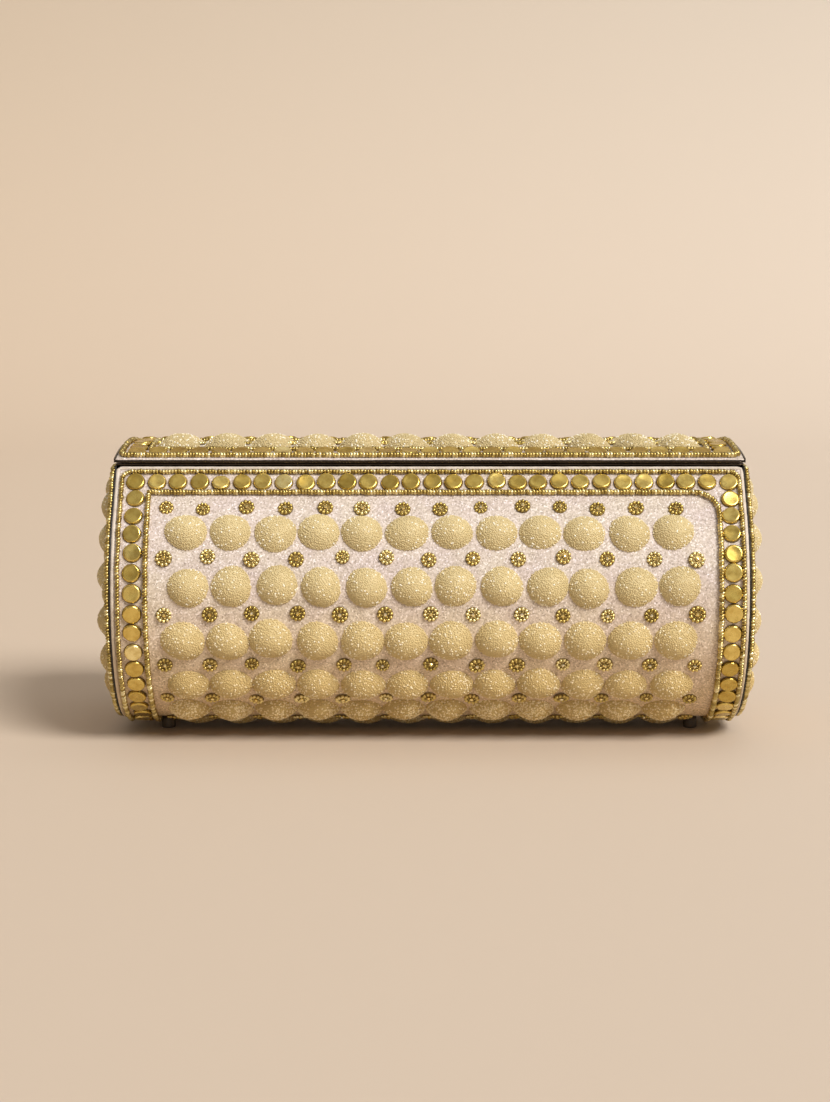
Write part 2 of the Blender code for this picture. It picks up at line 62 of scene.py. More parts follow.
FLANK_ANGLE = math.radians(40.0)
FLANK_LENGTH = 20.0 * MM
BASE_HALF_FLAT = 5.0 * MM
COVER_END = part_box("body_cover")[1].x
PANEL_LOW, PANEL_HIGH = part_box("right_end_panel")
BARREL_RADIUS = PANEL_HIGH.y - BASE_HALF_FLAT
AXIS_HEIGHT = PANEL_LOW.z + BARREL_RADIUS
BODY_TOP = PANEL_HIGH.z
END_EDGE = PANEL_HIGH.x
PANEL_INNER = PANEL_LOW.x
ARC_LENGTH = BARREL_RADIUS * (FLANK_ANGLE + math.pi / 2)
HALF_GIRTH = FLANK_LENGTH + ARC_LENGTH + BASE_HALF_FLAT
GIRTH = 2 * HALF_GIRTH

LID_LOW, LID_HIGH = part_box("lid_cover")
LID_HALF_DEPTH = LID_HIGH.y
LID_EDGE_TOP = LID_LOW.z + 0.5 * MM
LID_CROWN = LID_HIGH.z - LID_EDGE_TOP
END_COVER_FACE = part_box("right_end_cover")[1].x
END_COVER_INSET = 2.2 * MM
LIP = 0.42 * MM

OUTER_BEADS = 2.6 * MM
STUD_LINE = 6.7 * MM
INNER_BEADS = 11.0 * MM
OUTER_SHIFT = 0.3 * MM
STUD_SHIFT = 0.85 * MM
INNER_SHIFT = 1.15 * MM
LID_OUTER_BEADS = 1.7 * MM
LID_STUD_LINE = 5.9 * MM
END_BEADS = 1.0 * MM
BEAD_RADIUS = 0.92 * MM
INNER_BEAD_RADIUS = 1.05 * MM
BEAD_PITCH = 1.05 * MM
BEAD_SLANT = 0.5
THREAD_RADIUS = 0.55
STUD_WANDER = (0.12 * MM, 0.16 * MM)
ROSETTE_WANDER = (0.45 * MM, 0.35 * MM)
STUD_RADIUS = 3.1 * MM
STUD_BASE = 0.28 * MM
LID_STUD_LEAN = math.radians(11.0)
STUDS_IN_ROW = 29
LID_END_STUDS = 5
UNEVENNESS = math.radians(8.0)
STUD_PITCH = 6.65 * MM

BODY_CLOTH = 0.9 * MM
LID_CLOTH = 0.7 * MM
BODY_SATIN = 0.5 * MM
LID_SATIN = 0.4 * MM
SATIN_INSET = 3.35 * MM
SATIN_GAP = 0.35 * MM
PIPING_RADIUS = 0.72 * MM
PIPING_LINE = 0.66 * MM

GAP = 0.3 * MM
FRAME_THICKNESS = 0.55 * MM
FRAME_HALF_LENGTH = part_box("body_frame")[1].x
FRAME_HALF_DEPTH = -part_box("body_frame")[0].y
FRAME_CORNER = 1.5 * MM
BODY_FRAME_BOTTOM = BODY_TOP + GAP
LID_FRAME_BOTTOM = BODY_TOP + 2 * GAP + FRAME_THICKNESS
LID_EDGE = FRAME_HALF_LENGTH
LID_LIP_PLACE = (0.06 * MM, 0.48 * MM)
MOUTH_HALF_LENGTH = 101.5 * MM
MOUTH_HALF_DEPTH = 18.6 * MM
KNUCKLES = 7
KNUCKLE_PITCH = 26.0 * MM
KNUCKLE_BORE = 0.9 * MM
KNUCKLE_RADIUS = 1.35 * MM

DOME_WIDTH = 14.0 * MM
DOME_DEPTH = 13.6 * MM
DOME_HEIGHT = 3.75 * MM
BASE_DOME_HEIGHT = 2.4 * MM
LID_FRONT_DOME_HEIGHT = 4.15 * MM
LID_BACK_DOME_HEIGHT = 3.05 * MM
DOME_PITCH = 14.75 * MM
DOMES_IN_ROW = 12
# Each row of domes, in mm: how far down from the mouth it is, its pitch, its shift to the right and a
# dome's width and depth; then how pale its beads are, partly painted shade, and the share of them that are
# almost white, as painted glints.
DOME_ROWS = (
    (26.4, 14.78, 0.0, 14.1, 12.9, 0.52, 0.05),
    (44.9, 14.88, 1.4, 13.8, 13.5, 0.52, 0.06),
    (63.5, 14.97, -0.4, 14.8, 14.0, 0.52, 0.09),
    (82.0, 14.87, -0.3, 14.8, 14.0, 0.52, 0.14),
    (97.8, 14.80, -1.3, 14.6, 13.8, 0.45, 0.42),
    (119.0, 14.75, 0.0, 14.3, 13.6, 0.52, 0.2),
)
# The lid's and the ends' domes: how pale their beads are, made darker as painted shade, and their share of
# almost white beads as painted glints.
LID_SHADE_AND_GLINTS = (0.3, 0.1)
END_SHADE_AND_GLINTS = (0.5, 0.06)
LID_ROW_Y = 7.2 * MM
LID_DOME_WIDTH = 14.9 * MM
LID_DOME_PITCH = 15.77 * MM
END_DOME_WIDTH = 12.5 * MM
END_RINGS = ((9.5 * MM, 18), (22.8 * MM, 12))
END_CLUSTER = ((-0.5, -1), (0.5, -1), (-1, 0), (0, 0), (1, 0), (-0.5, 1), (0.5, 1))
END_CLUSTER_PITCH = (13.3 * MM, 11.1 * MM)
CAVIAR_RADIUS = 0.305 * MM
# The almost white beads are painted glints; they sit a little higher and are a little larger.
PLAIN_LIFT, SPARKLE_LIFT = 0.06 * MM, 0.14 * MM
SPARKLE_SCALE = 1.12
DOME_WANDER = 0.28 * MM
DOME_SPREAD = 0.018
CAVIAR_WANDER = 0.021
TINT_SPREAD = 0.15
PAD_RINGS, PAD_SIDES = 7, 24
PAD_RAISE = 0.1 * MM
CAVIAR_PER_DOME = 560
DOMES_IN_PIECE = 16

ROSETTE_RADIUS = 2.7 * MM
ROSETTE_PLACES = (17.1, 35.6, 54.1, 72.7, 89.4, 108.5)
FIRST_ROSETTES = 14
ROSETTES_IN_ROW = 13
FIRST_ROSETTE_SPAN = (-88 * MM, 82.5 * MM)
PETAL_RINGS = ((10, 0.73, 0.94, 0.2), (6, 0.4, 0.4, 0.2))  # count, radius, scale and height

CAMERA_PLACE = (-5 * MM, -850 * MM, 180.4 * MM)
CAMERA_PITCH = math.radians(7.97)
CAMERA_LENS = 79.68
SUN_PLACE = (0.5, -0.58, 0.68)
SUN_STRENGTH = 3.2
SUN_ANGLE = math.radians(24.0)


# -------- the surfaces that everything lies on
# Each takes arrays (u, v, lift) and gives points. u runs to the right as that face is seen from outside.


def section(distance, lift):
    """(y, z) on the front half of the barrel's section, at a distance down from the mouth."""
    distance = np.asarray(distance, float)
    on_arc = np.clip(distance - FLANK_LENGTH, 0.0, ARC_LENGTH)
    on_flank = np.minimum(distance, FLANK_LENGTH)
    on_base = np.clip(distance - FLANK_LENGTH - ARC_LENGTH, 0.0, None)
    angle = FLANK_ANGLE - on_arc / BARREL_RADIUS
    short = FLANK_LENGTH - on_flank
    y = BASE_HALF_FLAT + (BARREL_RADIUS + lift) * np.cos(angle) - short * math.sin(FLANK_ANGLE) - on_base
    z = AXIS_HEIGHT + (BARREL_RADIUS + lift) * np.sin(angle) + short * math.cos(FLANK_ANGLE)
    return y, z


def wall(u, v, lift):
    """The barrel's fabric. -v is how far down from the front mouth, then up to the back mouth."""
    distance = -np.asarray(v, float)
    back = distance > HALF_GIRTH
    y, z = section(np.where(back, GIRTH - distance, distance), lift)
    return np.stack(np.broadcast_arrays(u, np.where(back, y, -y), z), -1)


def lid(u, v, lift):
    """The lid's fabric. v is y."""
    v = np.asarray(v, float)
    slope = -2 * LID_CROWN * v / LID_HALF_DEPTH**2
    long = np.sqrt(1 + slope**2)
    z = LID_EDGE_TOP + LID_CROWN * (1 - (v / LID_HALF_DEPTH) ** 2)
    return np.stack(np.broadcast_arrays(u, v - lift * slope / long, z + lift / long), -1)


def right_end(u, v, lift):
    """The right end's fabric. u is y and v is z."""
    return np.stack(np.broadcast_arrays(END_COVER_FACE + np.asarray(lift, float), u, v), -1)


def left_end(u, v, lift):
    """The left end's fabric. -u is y and v is z."""
    return right_end(u, v, lift) * (-1, -1, 1)


ENDS = ((left_end, "left"), (right_end, "right"))


def frames(surface, u, v, lift, turn):
    """(points, rotations) on a surface. A rotation's columns point across, up and out; turn is about out."""
    u, v, lift = (np.asarray(a, float) for a in np.broadcast_arrays(u, v, lift))
    step = 0.05 * MM
    points = surface(u, v, lift)
    across = surface(u + step, v, lift) - surface(u - step, v, lift)
    out = surface(u, v, lift + step) - surface(u, v, lift - step)
    across /= np.linalg.norm(across, axis=-1, keepdims=True)
    out /= np.linalg.norm(out, axis=-1, keepdims=True)
    up = np.cross(out, across)
    c, s = np.cos(turn)[..., None], np.sin(turn)[..., None]
    return points, np.stack((c * across + s * up, c * up - s * across, out), -1)


def tilted(rotations, amount):
    """The rotations, each leaning in a random direction by up to about amount radians."""
    lean = RNG.normal(0.0, amount / 2, (len(rotations), 2))
    a, b = np.clip(lean, -amount, amount).T
    zero, one = np.zeros_like(a), np.ones_like(a)
    about_x = np.stack((one, zero, zero, zero, np.cos(a), -np.sin(a), zero, np.sin(a), np.cos(a)), -1)
    about_y = np.stack((np.cos(b), zero, np.sin(b), zero, one, zero, -np.sin(b), zero, np.cos(b)), -1)
    return rotations @ about_x.reshape(-1, 3, 3) @ about_y.reshape(-1, 3, 3)


# -------- meshes


def round_points(profile, sides):
    """The points of a profile of (radius, height), turned about Z, ring by ring."""
    turns = 2 * math.pi * np.arange(sides) / sides
    return [(r * math.cos(a), r * math.sin(a), h) for r, h in profile for a in turns]


def turned(profile, sides):
    """(points, faces) of a closed solid turned about Z from a profile of (radius, height), axis to axis."""
    ends = [(0.0, 0.0, profile[0][1])], [(0.0, 0.0, profile[-1][1])]
    points = ends[0] + round_points(profile[1:-1], sides) + ends[1]
    last = len(points) - 1
    faces = []
    for i in range(sides):
        j = (i + 1) % sides
        faces.append((0, 1 + i, 1 + j))
        for a in range(1, last - sides, sides):
            faces.append((a + i, a + sides + i, a + sides + j, a + j))
        faces.append((last, last - sides + j, last - sides + i))
    return np.array(points), faces


def from_bmesh(bm):
    """(points, faces) of a bmesh, which is then freed."""
    bm.verts.index_update()
    points = np.array([v.co[:] for v in bm.verts])
    faces = [tuple(v.index for v in f.verts) for f in bm.faces]
    bm.free()
    return points, faces


def ball():
    bm = bmesh.new()
    bmesh.ops.create_icosphere(bm, subdivisions=1, radius=1.0)
    return from_bmesh(bm)


def grid_faces(rows, columns, around=False, closed=False):
    """Quads of a grid of points, row by row.

    With around, each row closes on itself. With closed, the last row joins the first.
    """
    faces = []
    for row in range(rows if closed else rows - 1):
        low, high = row * columns, (row + 1) % rows * columns
        for c in range(columns if around else columns - 1):
            d = (c + 1) % columns
            faces.append((low + c, low + d, high + d, high + c))
    return faces


def flipped(faces):
    return [f[::-1] for f in faces]


def merged(parts):
    """(points, faces) of several solids in one mesh."""
    points, faces, start = [], [], 0
    for part_points, part_faces in parts:
        points.append(part_points)
        faces += [tuple(k + start for k in f) for f in part_faces]
        start += len(part_points)
    return np.concatenate(points), faces


def flattened(faces):
    """(corners, sizes): the corners of all faces one after another, and how many each face has."""
    return np.concatenate(faces), np.array([len(f) for f in faces])


def add_object(name, data):
    obj = bpy.data.objects.new(name, data)
    bpy.context.scene.collection.objects.link(obj)
    return obj


def add_mesh(name, points, corners, sizes, material, tint=None, smooth=True):
    """A mesh object from arrays. tint gives each point a value from 0 to 1 that its material reads."""
    mesh = bpy.data.meshes.new(name)
    mesh.vertices.add(len(points))
    mesh.vertices.foreach_set("co", np.asarray(points, np.float32).ravel())
    mesh.loops.add(len(corners))
    mesh.loops.foreach_set("vertex_index", np.asarray(corners, np.int32))
    mesh.polygons.add(len(sizes))
    starts = np.concatenate(([0], np.cumsum(sizes)[:-1]))
    mesh.polygons.foreach_set("loop_start", starts.astype(np.int32))
    mesh.polygons.foreach_set("use_smooth", np.full(len(sizes), smooth))
    if tint is not None:
        values = mesh.attributes.new("tint", "FLOAT", "POINT").data
        values.foreach_set("value", np.asarray(tint, np.float32))
    mesh.update(calc_edges=True)
    mesh.validate()
    mesh.materials.append(MATERIALS[material])
    return add_object(name, mesh)


def add_faces(name, points, faces, material, tint=None, smooth=True):
    return add_mesh(name, points, *flattened(faces), material, tint, smooth)


def add_copies(name, template, points, rotations, material, scales, tints=None, smooth=True):
    """A mesh object with a copy of the template at each point, each with its own size, turn and tint."""
    shape, faces = template
    count = len(points)
    local = shape * scales[:, None, None]
    if rotations is not None:
        local = np.einsum("nij,nvj->nvi", rotations, local)
    placed = (local + points[:, None, :]).reshape(-1, 3)
    corners, sizes = flattened(faces)
    corners = (corners + np.arange(count)[:, None] * len(shape)).ravel()
    tint = np.repeat(RNG.random(count) if tints is None else tints, len(shape))
    return add_mesh(name, placed, corners, np.tile(sizes, count), material, tint, smooth)


def joined(name, objects):
    """One object from several, with their materials kept apart."""
    bpy.context.view_layer.update()
    with bpy.context.temp_override(active_object=objects[0], selected_editable_objects=objects):
        bpy.ops.object.join()
    objects[0].name = name
    return objects[0]


def settle(obj, body, slot, *replaced):
    """obj rides on a body and stands for CAD nodes, which it hides. slot is not used."""
    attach(obj, body)
    if replaced:
        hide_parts(*replaced)


def body_of(surface):
    return "lid" if surface is lid else "body"


def smooth_noise(shape, cells, amount):
    """A smooth random height map, made of a coarse grid of values and cosine blending."""
    coarse = RNG.normal(0.0, 1.0, (cells[0] + 2, cells[1] + 2))
    rows = np.linspace(0, cells[0], shape[0])
    columns = np.linspace(0, cells[1], shape[1])
    i, j = np.floor(rows).astype(int), np.floor(columns).astype(int)
    a, b = rows - i, columns - j
    a, b = (a * a * (3 - 2 * a))[:, None], (b * b * (3 - 2 * b))[None, :]
    low = coarse[np.ix_(i, j)] * (1 - b) + coarse[np.ix_(i, j + 1)] * b
    high = coarse[np.ix_(i + 1, j)] * (1 - b) + coarse[np.ix_(i + 1, j + 1)] * b
    return amount * (low * (1 - a) + high * a)


# -------- materials


def set_stops(node, stops):
    """Gives a colour ramp its stops, each a position and a colour."""
    elements = node.color_ramp.elements
    while len(elements) < len(stops):
        elements.new(0.5)
    for element, (position, colour) in zip(elements, stops):
        element.position = position
        element.color = (*colour, 1.0)


class Shader:
    """A node material with a Principled shader, and short ways to add what drives it."""

    def __init__(self, name, colour, roughness, metallic=0.0, **constants):
        material = MATERIALS[name] = bpy.data.materials.new(name)
        material.use_nodes = True
        self.tree = material.node_tree
        self.shader = self.tree.nodes["Principled BSDF"]
        constants.update(Base_Color=(*colour, 1.0), Roughness=roughness, Metallic=metallic)
        for key, value in constants.items():
            self.shader.inputs[key.replace("_", " ")].default_value = value
        self.place = None

    def node(self, kind, **settings):
        made = self.tree.nodes.new(kind)
        for key, value in settings.items():
            if key in made.inputs:
                made.inputs[key].default_value = value
            else:
                setattr(made, key, value)
        return made

    def link(self, output, node, name):
        self.tree.links.new(output, node.inputs[name])

    def coordinates(self, node, stretch=None):
        """Feeds the node with the object's own coordinates, which stretch scales along each axis."""
        if self.place is None:
            self.place = self.node("ShaderNodeTexCoord")
        output = self.place.outputs["Object"]
        if stretch:
            mapping = self.node("ShaderNodeMapping", Scale=stretch)
            self.link(output, mapping, "Vector")
            output = mapping.outputs["Vector"]
        self.link(output, node, "Vector")
        return node

    def noise(self, scale, detail=3.0, stretch=None):
        node = self.node("ShaderNodeTexNoise", Scale=scale, Detail=detail)
        return self.coordinates(node, stretch).outputs["Fac"]

    def cells(self, scale, output="Color"):
        return self.coordinates(self.node("ShaderNodeTexVoronoi", Scale=scale)).outputs[output]

    def waves(self, scale, direction):
        node = self.node("ShaderNodeTexWave", Scale=scale, bands_direction=direction)
        return self.coordinates(node).outputs["Fac"]

    def along(self, axis, low, high):
        """A value that runs from 0 to 1 between two places, in metres, along the object's axis."""
        place = self.coordinates(self.node("ShaderNodeSeparateXYZ")).outputs[axis]
        node = self.node("ShaderNodeMapRange", **{"From Min": low, "From Max": high})
        self.link(place, node, "Value")
        return node.outputs["Result"]

    def painted_base_shade(self, low=(0.88, 0.76, 0.52), middle=(0.98, 0.93, 0.82)):
        """Painted shade: cloth and beads are a little yellower and darker towards the base, where less light
        reaches them and the table's light on them is warm.
        """
        return self.ramp(self.along("Z", *BASE_SHADE_HEIGHTS), (0.0, low), (0.5, middle), (1.0, WHITE))

    def tint(self):
        return self.node("ShaderNodeAttribute", attribute_name="tint").outputs["Fac"]

    def ramp(self, source, *stops):
        node = self.node("ShaderNodeValToRGB")
        set_stops(node, stops)
        self.link(source, node, "Fac")
        return node.outputs["Color"]

    def product(self, *colours):
        """The colours, multiplied with each other."""
        result = colours[0]
        for colour in colours[1:]:
            node = self.node("ShaderNodeMix", data_type="RGBA", blend_type="MULTIPLY", Factor=1.0)
            self.link(result, node, COLOUR_A)
            self.link(colour, node, COLOUR_B)
            result = node.outputs[MIXED_COLOUR]
        return result

    def colour(self, source, *stops):
        """The colour is a colour output, or a value through a ramp."""
        self.link(self.ramp(source, *stops) if stops else source, self.shader, "Base Color")

    def rough(self, source, *stops):
        """The roughness is a value through a ramp."""
        greys = ((position, (value,) * 3) for position, value in stops)
        self.link(self.ramp(source, *greys), self.shader, "Roughness")

    def bump(self, height, strength, distance):
        node = self.node("ShaderNodeBump", Strength=strength, Distance=distance)
        self.link(height, node, "Height")
        normal = self.shader.inputs["Normal"]
        if normal.links:
            self.link(normal.links[0].from_socket, node, "Normal")
        self.tree.links.new(node.outputs["Normal"], normal)


def build_cloths():
    # White cloth with a lilac cast, covered in fine glitter, with painted shade towards the base.
    s = Shader("glitter_fabric", (0.66, 0.58, 0.51), 0.5, Sheen_Weight=0.1, Sheen_Roughness=0.4)
    flakes = s.cells(2100.0)
    dark, grey = (0.0, (0.34, 0.28, 0.24)), (0.3, (0.56, 0.49, 0.43))
    base = s.ramp(flakes, dark, grey, (0.7, (0.7, 0.63, 0.58)), (1.0, (1.0, 0.97, 1.0)))
    mottled = s.ramp(s.noise(90.0), (0.35, (0.97, 0.93, 0.96)), (0.65, (1.0, 0.98, 0.93)))
    s.colour(s.product(base, mottled, s.painted_base_shade((1.0, 0.83, 0.52), (1.0, 0.91, 0.73))))
    s.rough(s.cells(1700.0), (0.2, 0.25), (0.8, 0.6))
    s.bump(s.waves(900.0, "X"), 0.15, 0.05 * MM)
    s.bump(flakes, 0.6, 0.12 * MM)

    # Tiny champagne beads, with painted shade towards the base; the almost white ones are painted glints.
    s = Shader("caviar_beads", (0.74, 0.61, 0.33), 0.5, Coat_Weight=0.05, Coat_Roughness=0.2)
    plain = (0.0, (0.46, 0.37, 0.19)), (0.35, (0.62, 0.505, 0.265)), (0.88, (0.78, 0.66, 0.375))
    beads = s.ramp(s.tint(), *plain, (0.94, (0.88, 0.8, 0.58)), (1.0, (1.0, 0.98, 0.9)))
    s.colour(s.product(beads, s.painted_base_shade()))
    s.bump(s.noise(2500.0, 2.0), 0.15, 0.05 * MM)

    # The padded cloth that shows between the tiny beads; like the beads it is darker on the lid, on the ends
    # and towards the base, as painted shade.
    s = Shader("dome_ground", (0.8, 0.67, 0.38), 0.6, Sheen_Weight=0.2)
    cloth = s.ramp(s.noise(500.0), (0.3, (0.93, 0.91, 0.88)), (0.7, WHITE))
    shades = (0.0, (0.44, 0.355, 0.18)), (0.35, (0.62, 0.51, 0.275)), (0.9, (0.76, 0.65, 0.38))
    s.colour(s.product(cloth, s.ramp(s.tint(), *shades), s.painted_base_shade()))
    s.bump(s.cells(1500.0, "Distance"), 0.4, 0.12 * MM)

    # Dark gold thread that the beads are sewn down with; round each stud's foot it is also a painted dark
    # outline for the shade there.
    s = Shader("couching_thread", (0.16, 0.105, 0.03), 0.5, 0.3)
    s.colour(s.noise(900.0), (0.3, (0.09, 0.055, 0.015)), (0.7, (0.24, 0.165, 0.05)))
    s.bump(s.waves(1200.0, "DIAGONAL"), 0.5, 0.06 * MM)

    # Satin piping, with painted shade towards the base.
    s = Shader("satin_piping", (0.66, 0.58, 0.5), 0.42, Sheen_Weight=0.2, Sheen_Roughness=0.3)
    satin = s.ramp(s.noise(350.0), (0.3, (0.56, 0.48, 0.4)), (0.7, (0.74, 0.66, 0.58)))
    s.colour(s.product(satin, s.painted_base_shade()))
    s.bump(s.waves(620.0, "DIAGONAL"), 0.5, 0.08 * MM)

    # Champagne satin with a fine weave.
    s = Shader("lining_satin", (0.62, 0.47, 0.3), 0.36, Sheen_Weight=0.4, Sheen_Roughness=0.25)
    s.colour(s.noise(60.0), (0.3, (0.57, 0.43, 0.27)), (0.7, (0.66, 0.51, 0.33)))
    for direction in ("X", "Z"):
        s.bump(s.waves(1300.0, direction), 0.18, 0.04 * MM)

    s = Shader("black_board", (0.012, 0.009, 0.006), 0.55)
    s.colour(s.noise(600.0), (0.3, (0.006, 0.0045, 0.003)), (0.8, (0.024, 0.018, 0.013)))
    s.rough(s.noise(250.0), (0.3, 0.4), (0.7, 0.65))
    s.bump(s.noise(1500.0), 0.3, 0.06 * MM)


def build_metals():
    # Small gold beads and petals: the name, its plain colour and roughness, and its colours by tint.
    beads = (0.0, (0.36, 0.26, 0.08)), (0.6, (0.6, 0.47, 0.17)), (1.0, (0.94, 0.84, 0.5))
    petals = (0.0, (0.52, 0.4, 0.12)), (0.6, (0.76, 0.6, 0.22)), (1.0, (1.0, 0.9, 0.5))
    for name, colour, roughness, stops in (
        ("gold_bead", (0.6, 0.48, 0.17), 0.22, beads),
        ("rosette_gold", (0.74, 0.55, 0.12), 0.2, petals),
    ):
        s = Shader(name, colour, roughness, 1.0)
        s.colour(s.tint(), *stops)
        s.rough(s.noise(900.0), (0.3, 0.24), (0.7, 0.42))

    # Brushed gold plate, a little different on each stud, and worn darker in places.
    s = Shader("gold_stud", (0.78, 0.66, 0.3), 0.26, 1.0)
    dark, middle = (0.0, (0.62, 0.45, 0.11)), (0.5, (0.76, 0.57, 0.16))
    plate = s.ramp(s.tint(), dark, middle, (0.9, (0.88, 0.69, 0.23)), (1.0, (1.0, 0.86, 0.42)))
    worn = s.ramp(s.noise(420.0, 5.0), (0.35, (0.8, 0.74, 0.62)), (0.6, WHITE))
    s.colour(s.product(plate, worn))
    s.rough(s.noise(260.0, 6.0), (0.3, 0.16), (0.7, 0.36))
    s.bump(s.noise(300.0, 2.0), 0.25, 0.12 * MM)
    s.bump(s.noise(900.0, 4.0, (1.0, 6.0, 6.0)), 0.12, 0.05 * MM)

    s = Shader("rosette_stone", (0.86, 0.68, 0.26), 0.1, 1.0, Coat_Weight=0.4, Coat_Roughness=0.05)
    s.colour(s.tint(), (0.0, (0.8, 0.6, 0.2)), (0.7, (0.95, 0.8, 0.38)), (1.0, (1.0, 0.93, 0.7)))

    # Dark gold cloth under the petals of a rosette.
    s = Shader("rosette_cup", (0.24, 0.16, 0.04), 0.45, 0.5)
    s.colour(s.noise(900.0), (0.3, (0.12, 0.075, 0.02)), (0.7, (0.26, 0.18, 0.05)))
    s.bump(s.noise(1400.0), 0.5, 0.08 * MM)

    # Polished metal plated black-bronze, with fine scratches.
    s = Shader("dark_frame", (0.04, 0.026, 0.015), 0.16, 0.8, Coat_Weight=0.1, Coat_Roughness=0.06)
    s.colour(s.noise(120.0, 4.0), (0.35, (0.032, 0.02, 0.012)), (0.75, (0.058, 0.039, 0.024)))
    s.rough(s.noise(300.0, 6.0, (0.1, 1.0, 1.0)), (0.3, 0.1), (0.75, 0.3))

    # The feet's plating, duller than the frame's; its dull dark brown is painted shade, so the feet read as
    # the shadow under the bag.
    s = Shader("foot_metal", (0.09, 0.065, 0.045), 0.6, 0.2)
    s.colour(s.noise(300.0, 4.0), (0.35, (0.07, 0.05, 0.035)), (0.75, (0.12, 0.09, 0.06)))
    s.rough(s.noise(500.0, 5.0), (0.3, 0.5), (0.75, 0.7))

    s = Shader("nickel", (0.55, 0.55, 0.57), 0.24, 1.0)
    s.colour(s.noise(500.0, 4.0), (0.3, (0.42, 0.42, 0.44)), (0.7, (0.66, 0.66, 0.68)))
    s.rough(s.noise(900.0, 5.0), (0.3, 0.15), (0.7, 0.38))


# -------- stage, light and camera


def add_area(name, place, target, size, power, colour):
    light = bpy.data.lights.new(name, "AREA")
    light.shape = "RECTANGLE"
    light.size, light.size_y = size
    light.energy = power
    light.color = colour
    obj = add_object(name, light)
    obj.location = place
    obj.rotation_euler = (Vector(target) - Vector(place)).to_track_quat("-Z", "Y").to_euler()


def build_stage():
    """A pale floor that curves up into a wall behind the bag."""
    half_width, front, back, bend, height, steps = 3.0, -2.2, 1.0, 0.9, 2.6, 24
    line = [(front, 0.0), (back, 0.0)]
    for angle in math.pi / 2 * np.arange(1, steps + 1) / steps:
        line.append((back + bend * math.sin(angle), bend - bend * math.cos(angle)))
    line.append((back + bend, height))
    points = [(x, y, z) for y, z in line for x in (-half_width, half_width)]
    s = Shader("stage_paint", (0.66, 0.55, 0.44), 0.7)
    # Painted shade on the stage: darker towards the left, away from the sun, and darker higher up the wall.
    across = s.ramp(s.along("X", -0.5, 0.5), (0.0, (0.86, 0.8, 0.72)), (1.0, WHITE))
    painted_wall_shade = s.ramp(s.along("Z", 0.0, 0.7), (0.0, (0.665, 0.575, 0.49)), (1.0, (0.535, 0.48, 0.41)))
    s.colour(s.product(across, painted_wall_shade))
    add_faces("stage_floor", points, flipped(grid_faces(len(line), 2)), "stage_paint")


def build_light():
    """A wide soft sun from the front right, two area lights and a sky that is brighter above."""
    world = bpy.data.worlds.new("studio")
    bpy.context.scene.world = world
    world.use_nodes = True
    tree = world.node_tree
    place = tree.nodes.new("ShaderNodeTexCoord")
    split = tree.nodes.new("ShaderNodeSeparateXYZ")
    sky = tree.nodes.new("ShaderNodeValToRGB")
    set_stops(sky, ((0.0, (0.21, 0.18, 0.14)), (0.9, (0.46, 0.43, 0.4))))
    tree.links.new(place.outputs["Generated"], split.inputs["Vector"])
    tree.links.new(split.outputs["Z"], sky.inputs["Fac"])
    tree.links.new(sky.outputs["Color"], tree.nodes["Background"].inputs["Color"])
    sun = bpy.data.lights.new("key", "SUN")
    sun.energy = SUN_STRENGTH
    sun.angle = SUN_ANGLE
    sun.color = (1.0, 0.965, 0.92)
    add_object("key", sun).rotation_euler = Vector(SUN_PLACE).to_track_quat("Z", "Y").to_euler()
    add_area("softbox", (0.25, 0.35, 1.5), (0.0, 0.0, 0.05), (1.1, 0.7), 1.6, (1.0, 0.97, 0.93))
    add_area("front_fill", (0.1, -1.3, 0.25), (0.0, 0.0, 0.03), (1.4, 0.4), 0.8, (1.0, 0.96, 0.9))
    bpy.context.scene.view_settings.view_transform = "Standard"


def build_camera():
    camera = bpy.data.cameras.new("camera")
    camera.lens = CAMERA_LENS
    camera.clip_start = 0.02
    camera.clip_end = 20.0
    obj = add_object("camera", camera)
    obj.location = CAMERA_PLACE
    obj.rotation_euler = (math.pi / 2 - CAMERA_PITCH, 0.0, 0.0)
    bpy.context.scene.camera = obj


# -------- fabric covers and linings


def solidify(obj, thickness, offset=-1.0):
    modifier = obj.modifiers.new("thickness", "SOLIDIFY")
    modifier.thickness = thickness
    modifier.offset = offset


def grid(low, high, rows, columns):
    """(u, v) of a grid of points between two corners."""
    return np.meshgrid(np.linspace(low[0], high[0], columns), np.linspace(low[1], high[1], rows))


def build_body_cover():
    """The cloth round the barrel, very slightly uneven, which ends a little short of the mouth."""
    half_length = COVER_END + 1.2 * MM
    edge = 1.35 * MM
    rows, columns = 221, 181
    u, v = grid((-half_length, -edge), (half_length, edge - GIRTH), rows, columns)
    points = wall(u, v, smooth_noise((rows, columns), (34, 28), 0.05 * MM)).reshape(-1, 3)
    obj = add_faces("body_cloth", points, flipped(grid_faces(rows, columns)), "glitter_fabric")
    solidify(obj, BODY_CLOTH)
    settle(obj, "body", "cover_fabric", "body_cover")


def outline(inset):
    """(y, z) round an end, from the front of the mouth, round the base, to its back."""
    flank = np.linspace(0.0, FLANK_LENGTH, 7)[:-1]
    arc = np.linspace(FLANK_LENGTH, FLANK_LENGTH + ARC_LENGTH, 40)
    y, z = section(np.concatenate((flank, arc)), -inset)
    keep = z < BODY_TOP - inset
    y, z = y[keep], z[keep]
    radius = BARREL_RADIUS - inset
    start_y = BASE_HALF_FLAT + radius * math.cos(FLANK_ANGLE)
    start_z = AXIS_HEIGHT + radius * math.sin(FLANK_ANGLE)
    corner_y = start_y - (BODY_TOP - inset - start_z) * math.tan(FLANK_ANGLE)
    half = np.concatenate(([[corner_y, BODY_TOP - inset]], np.stack((y, z), -1)))
    return np.concatenate((half * (-1, 1), half[::-1]))


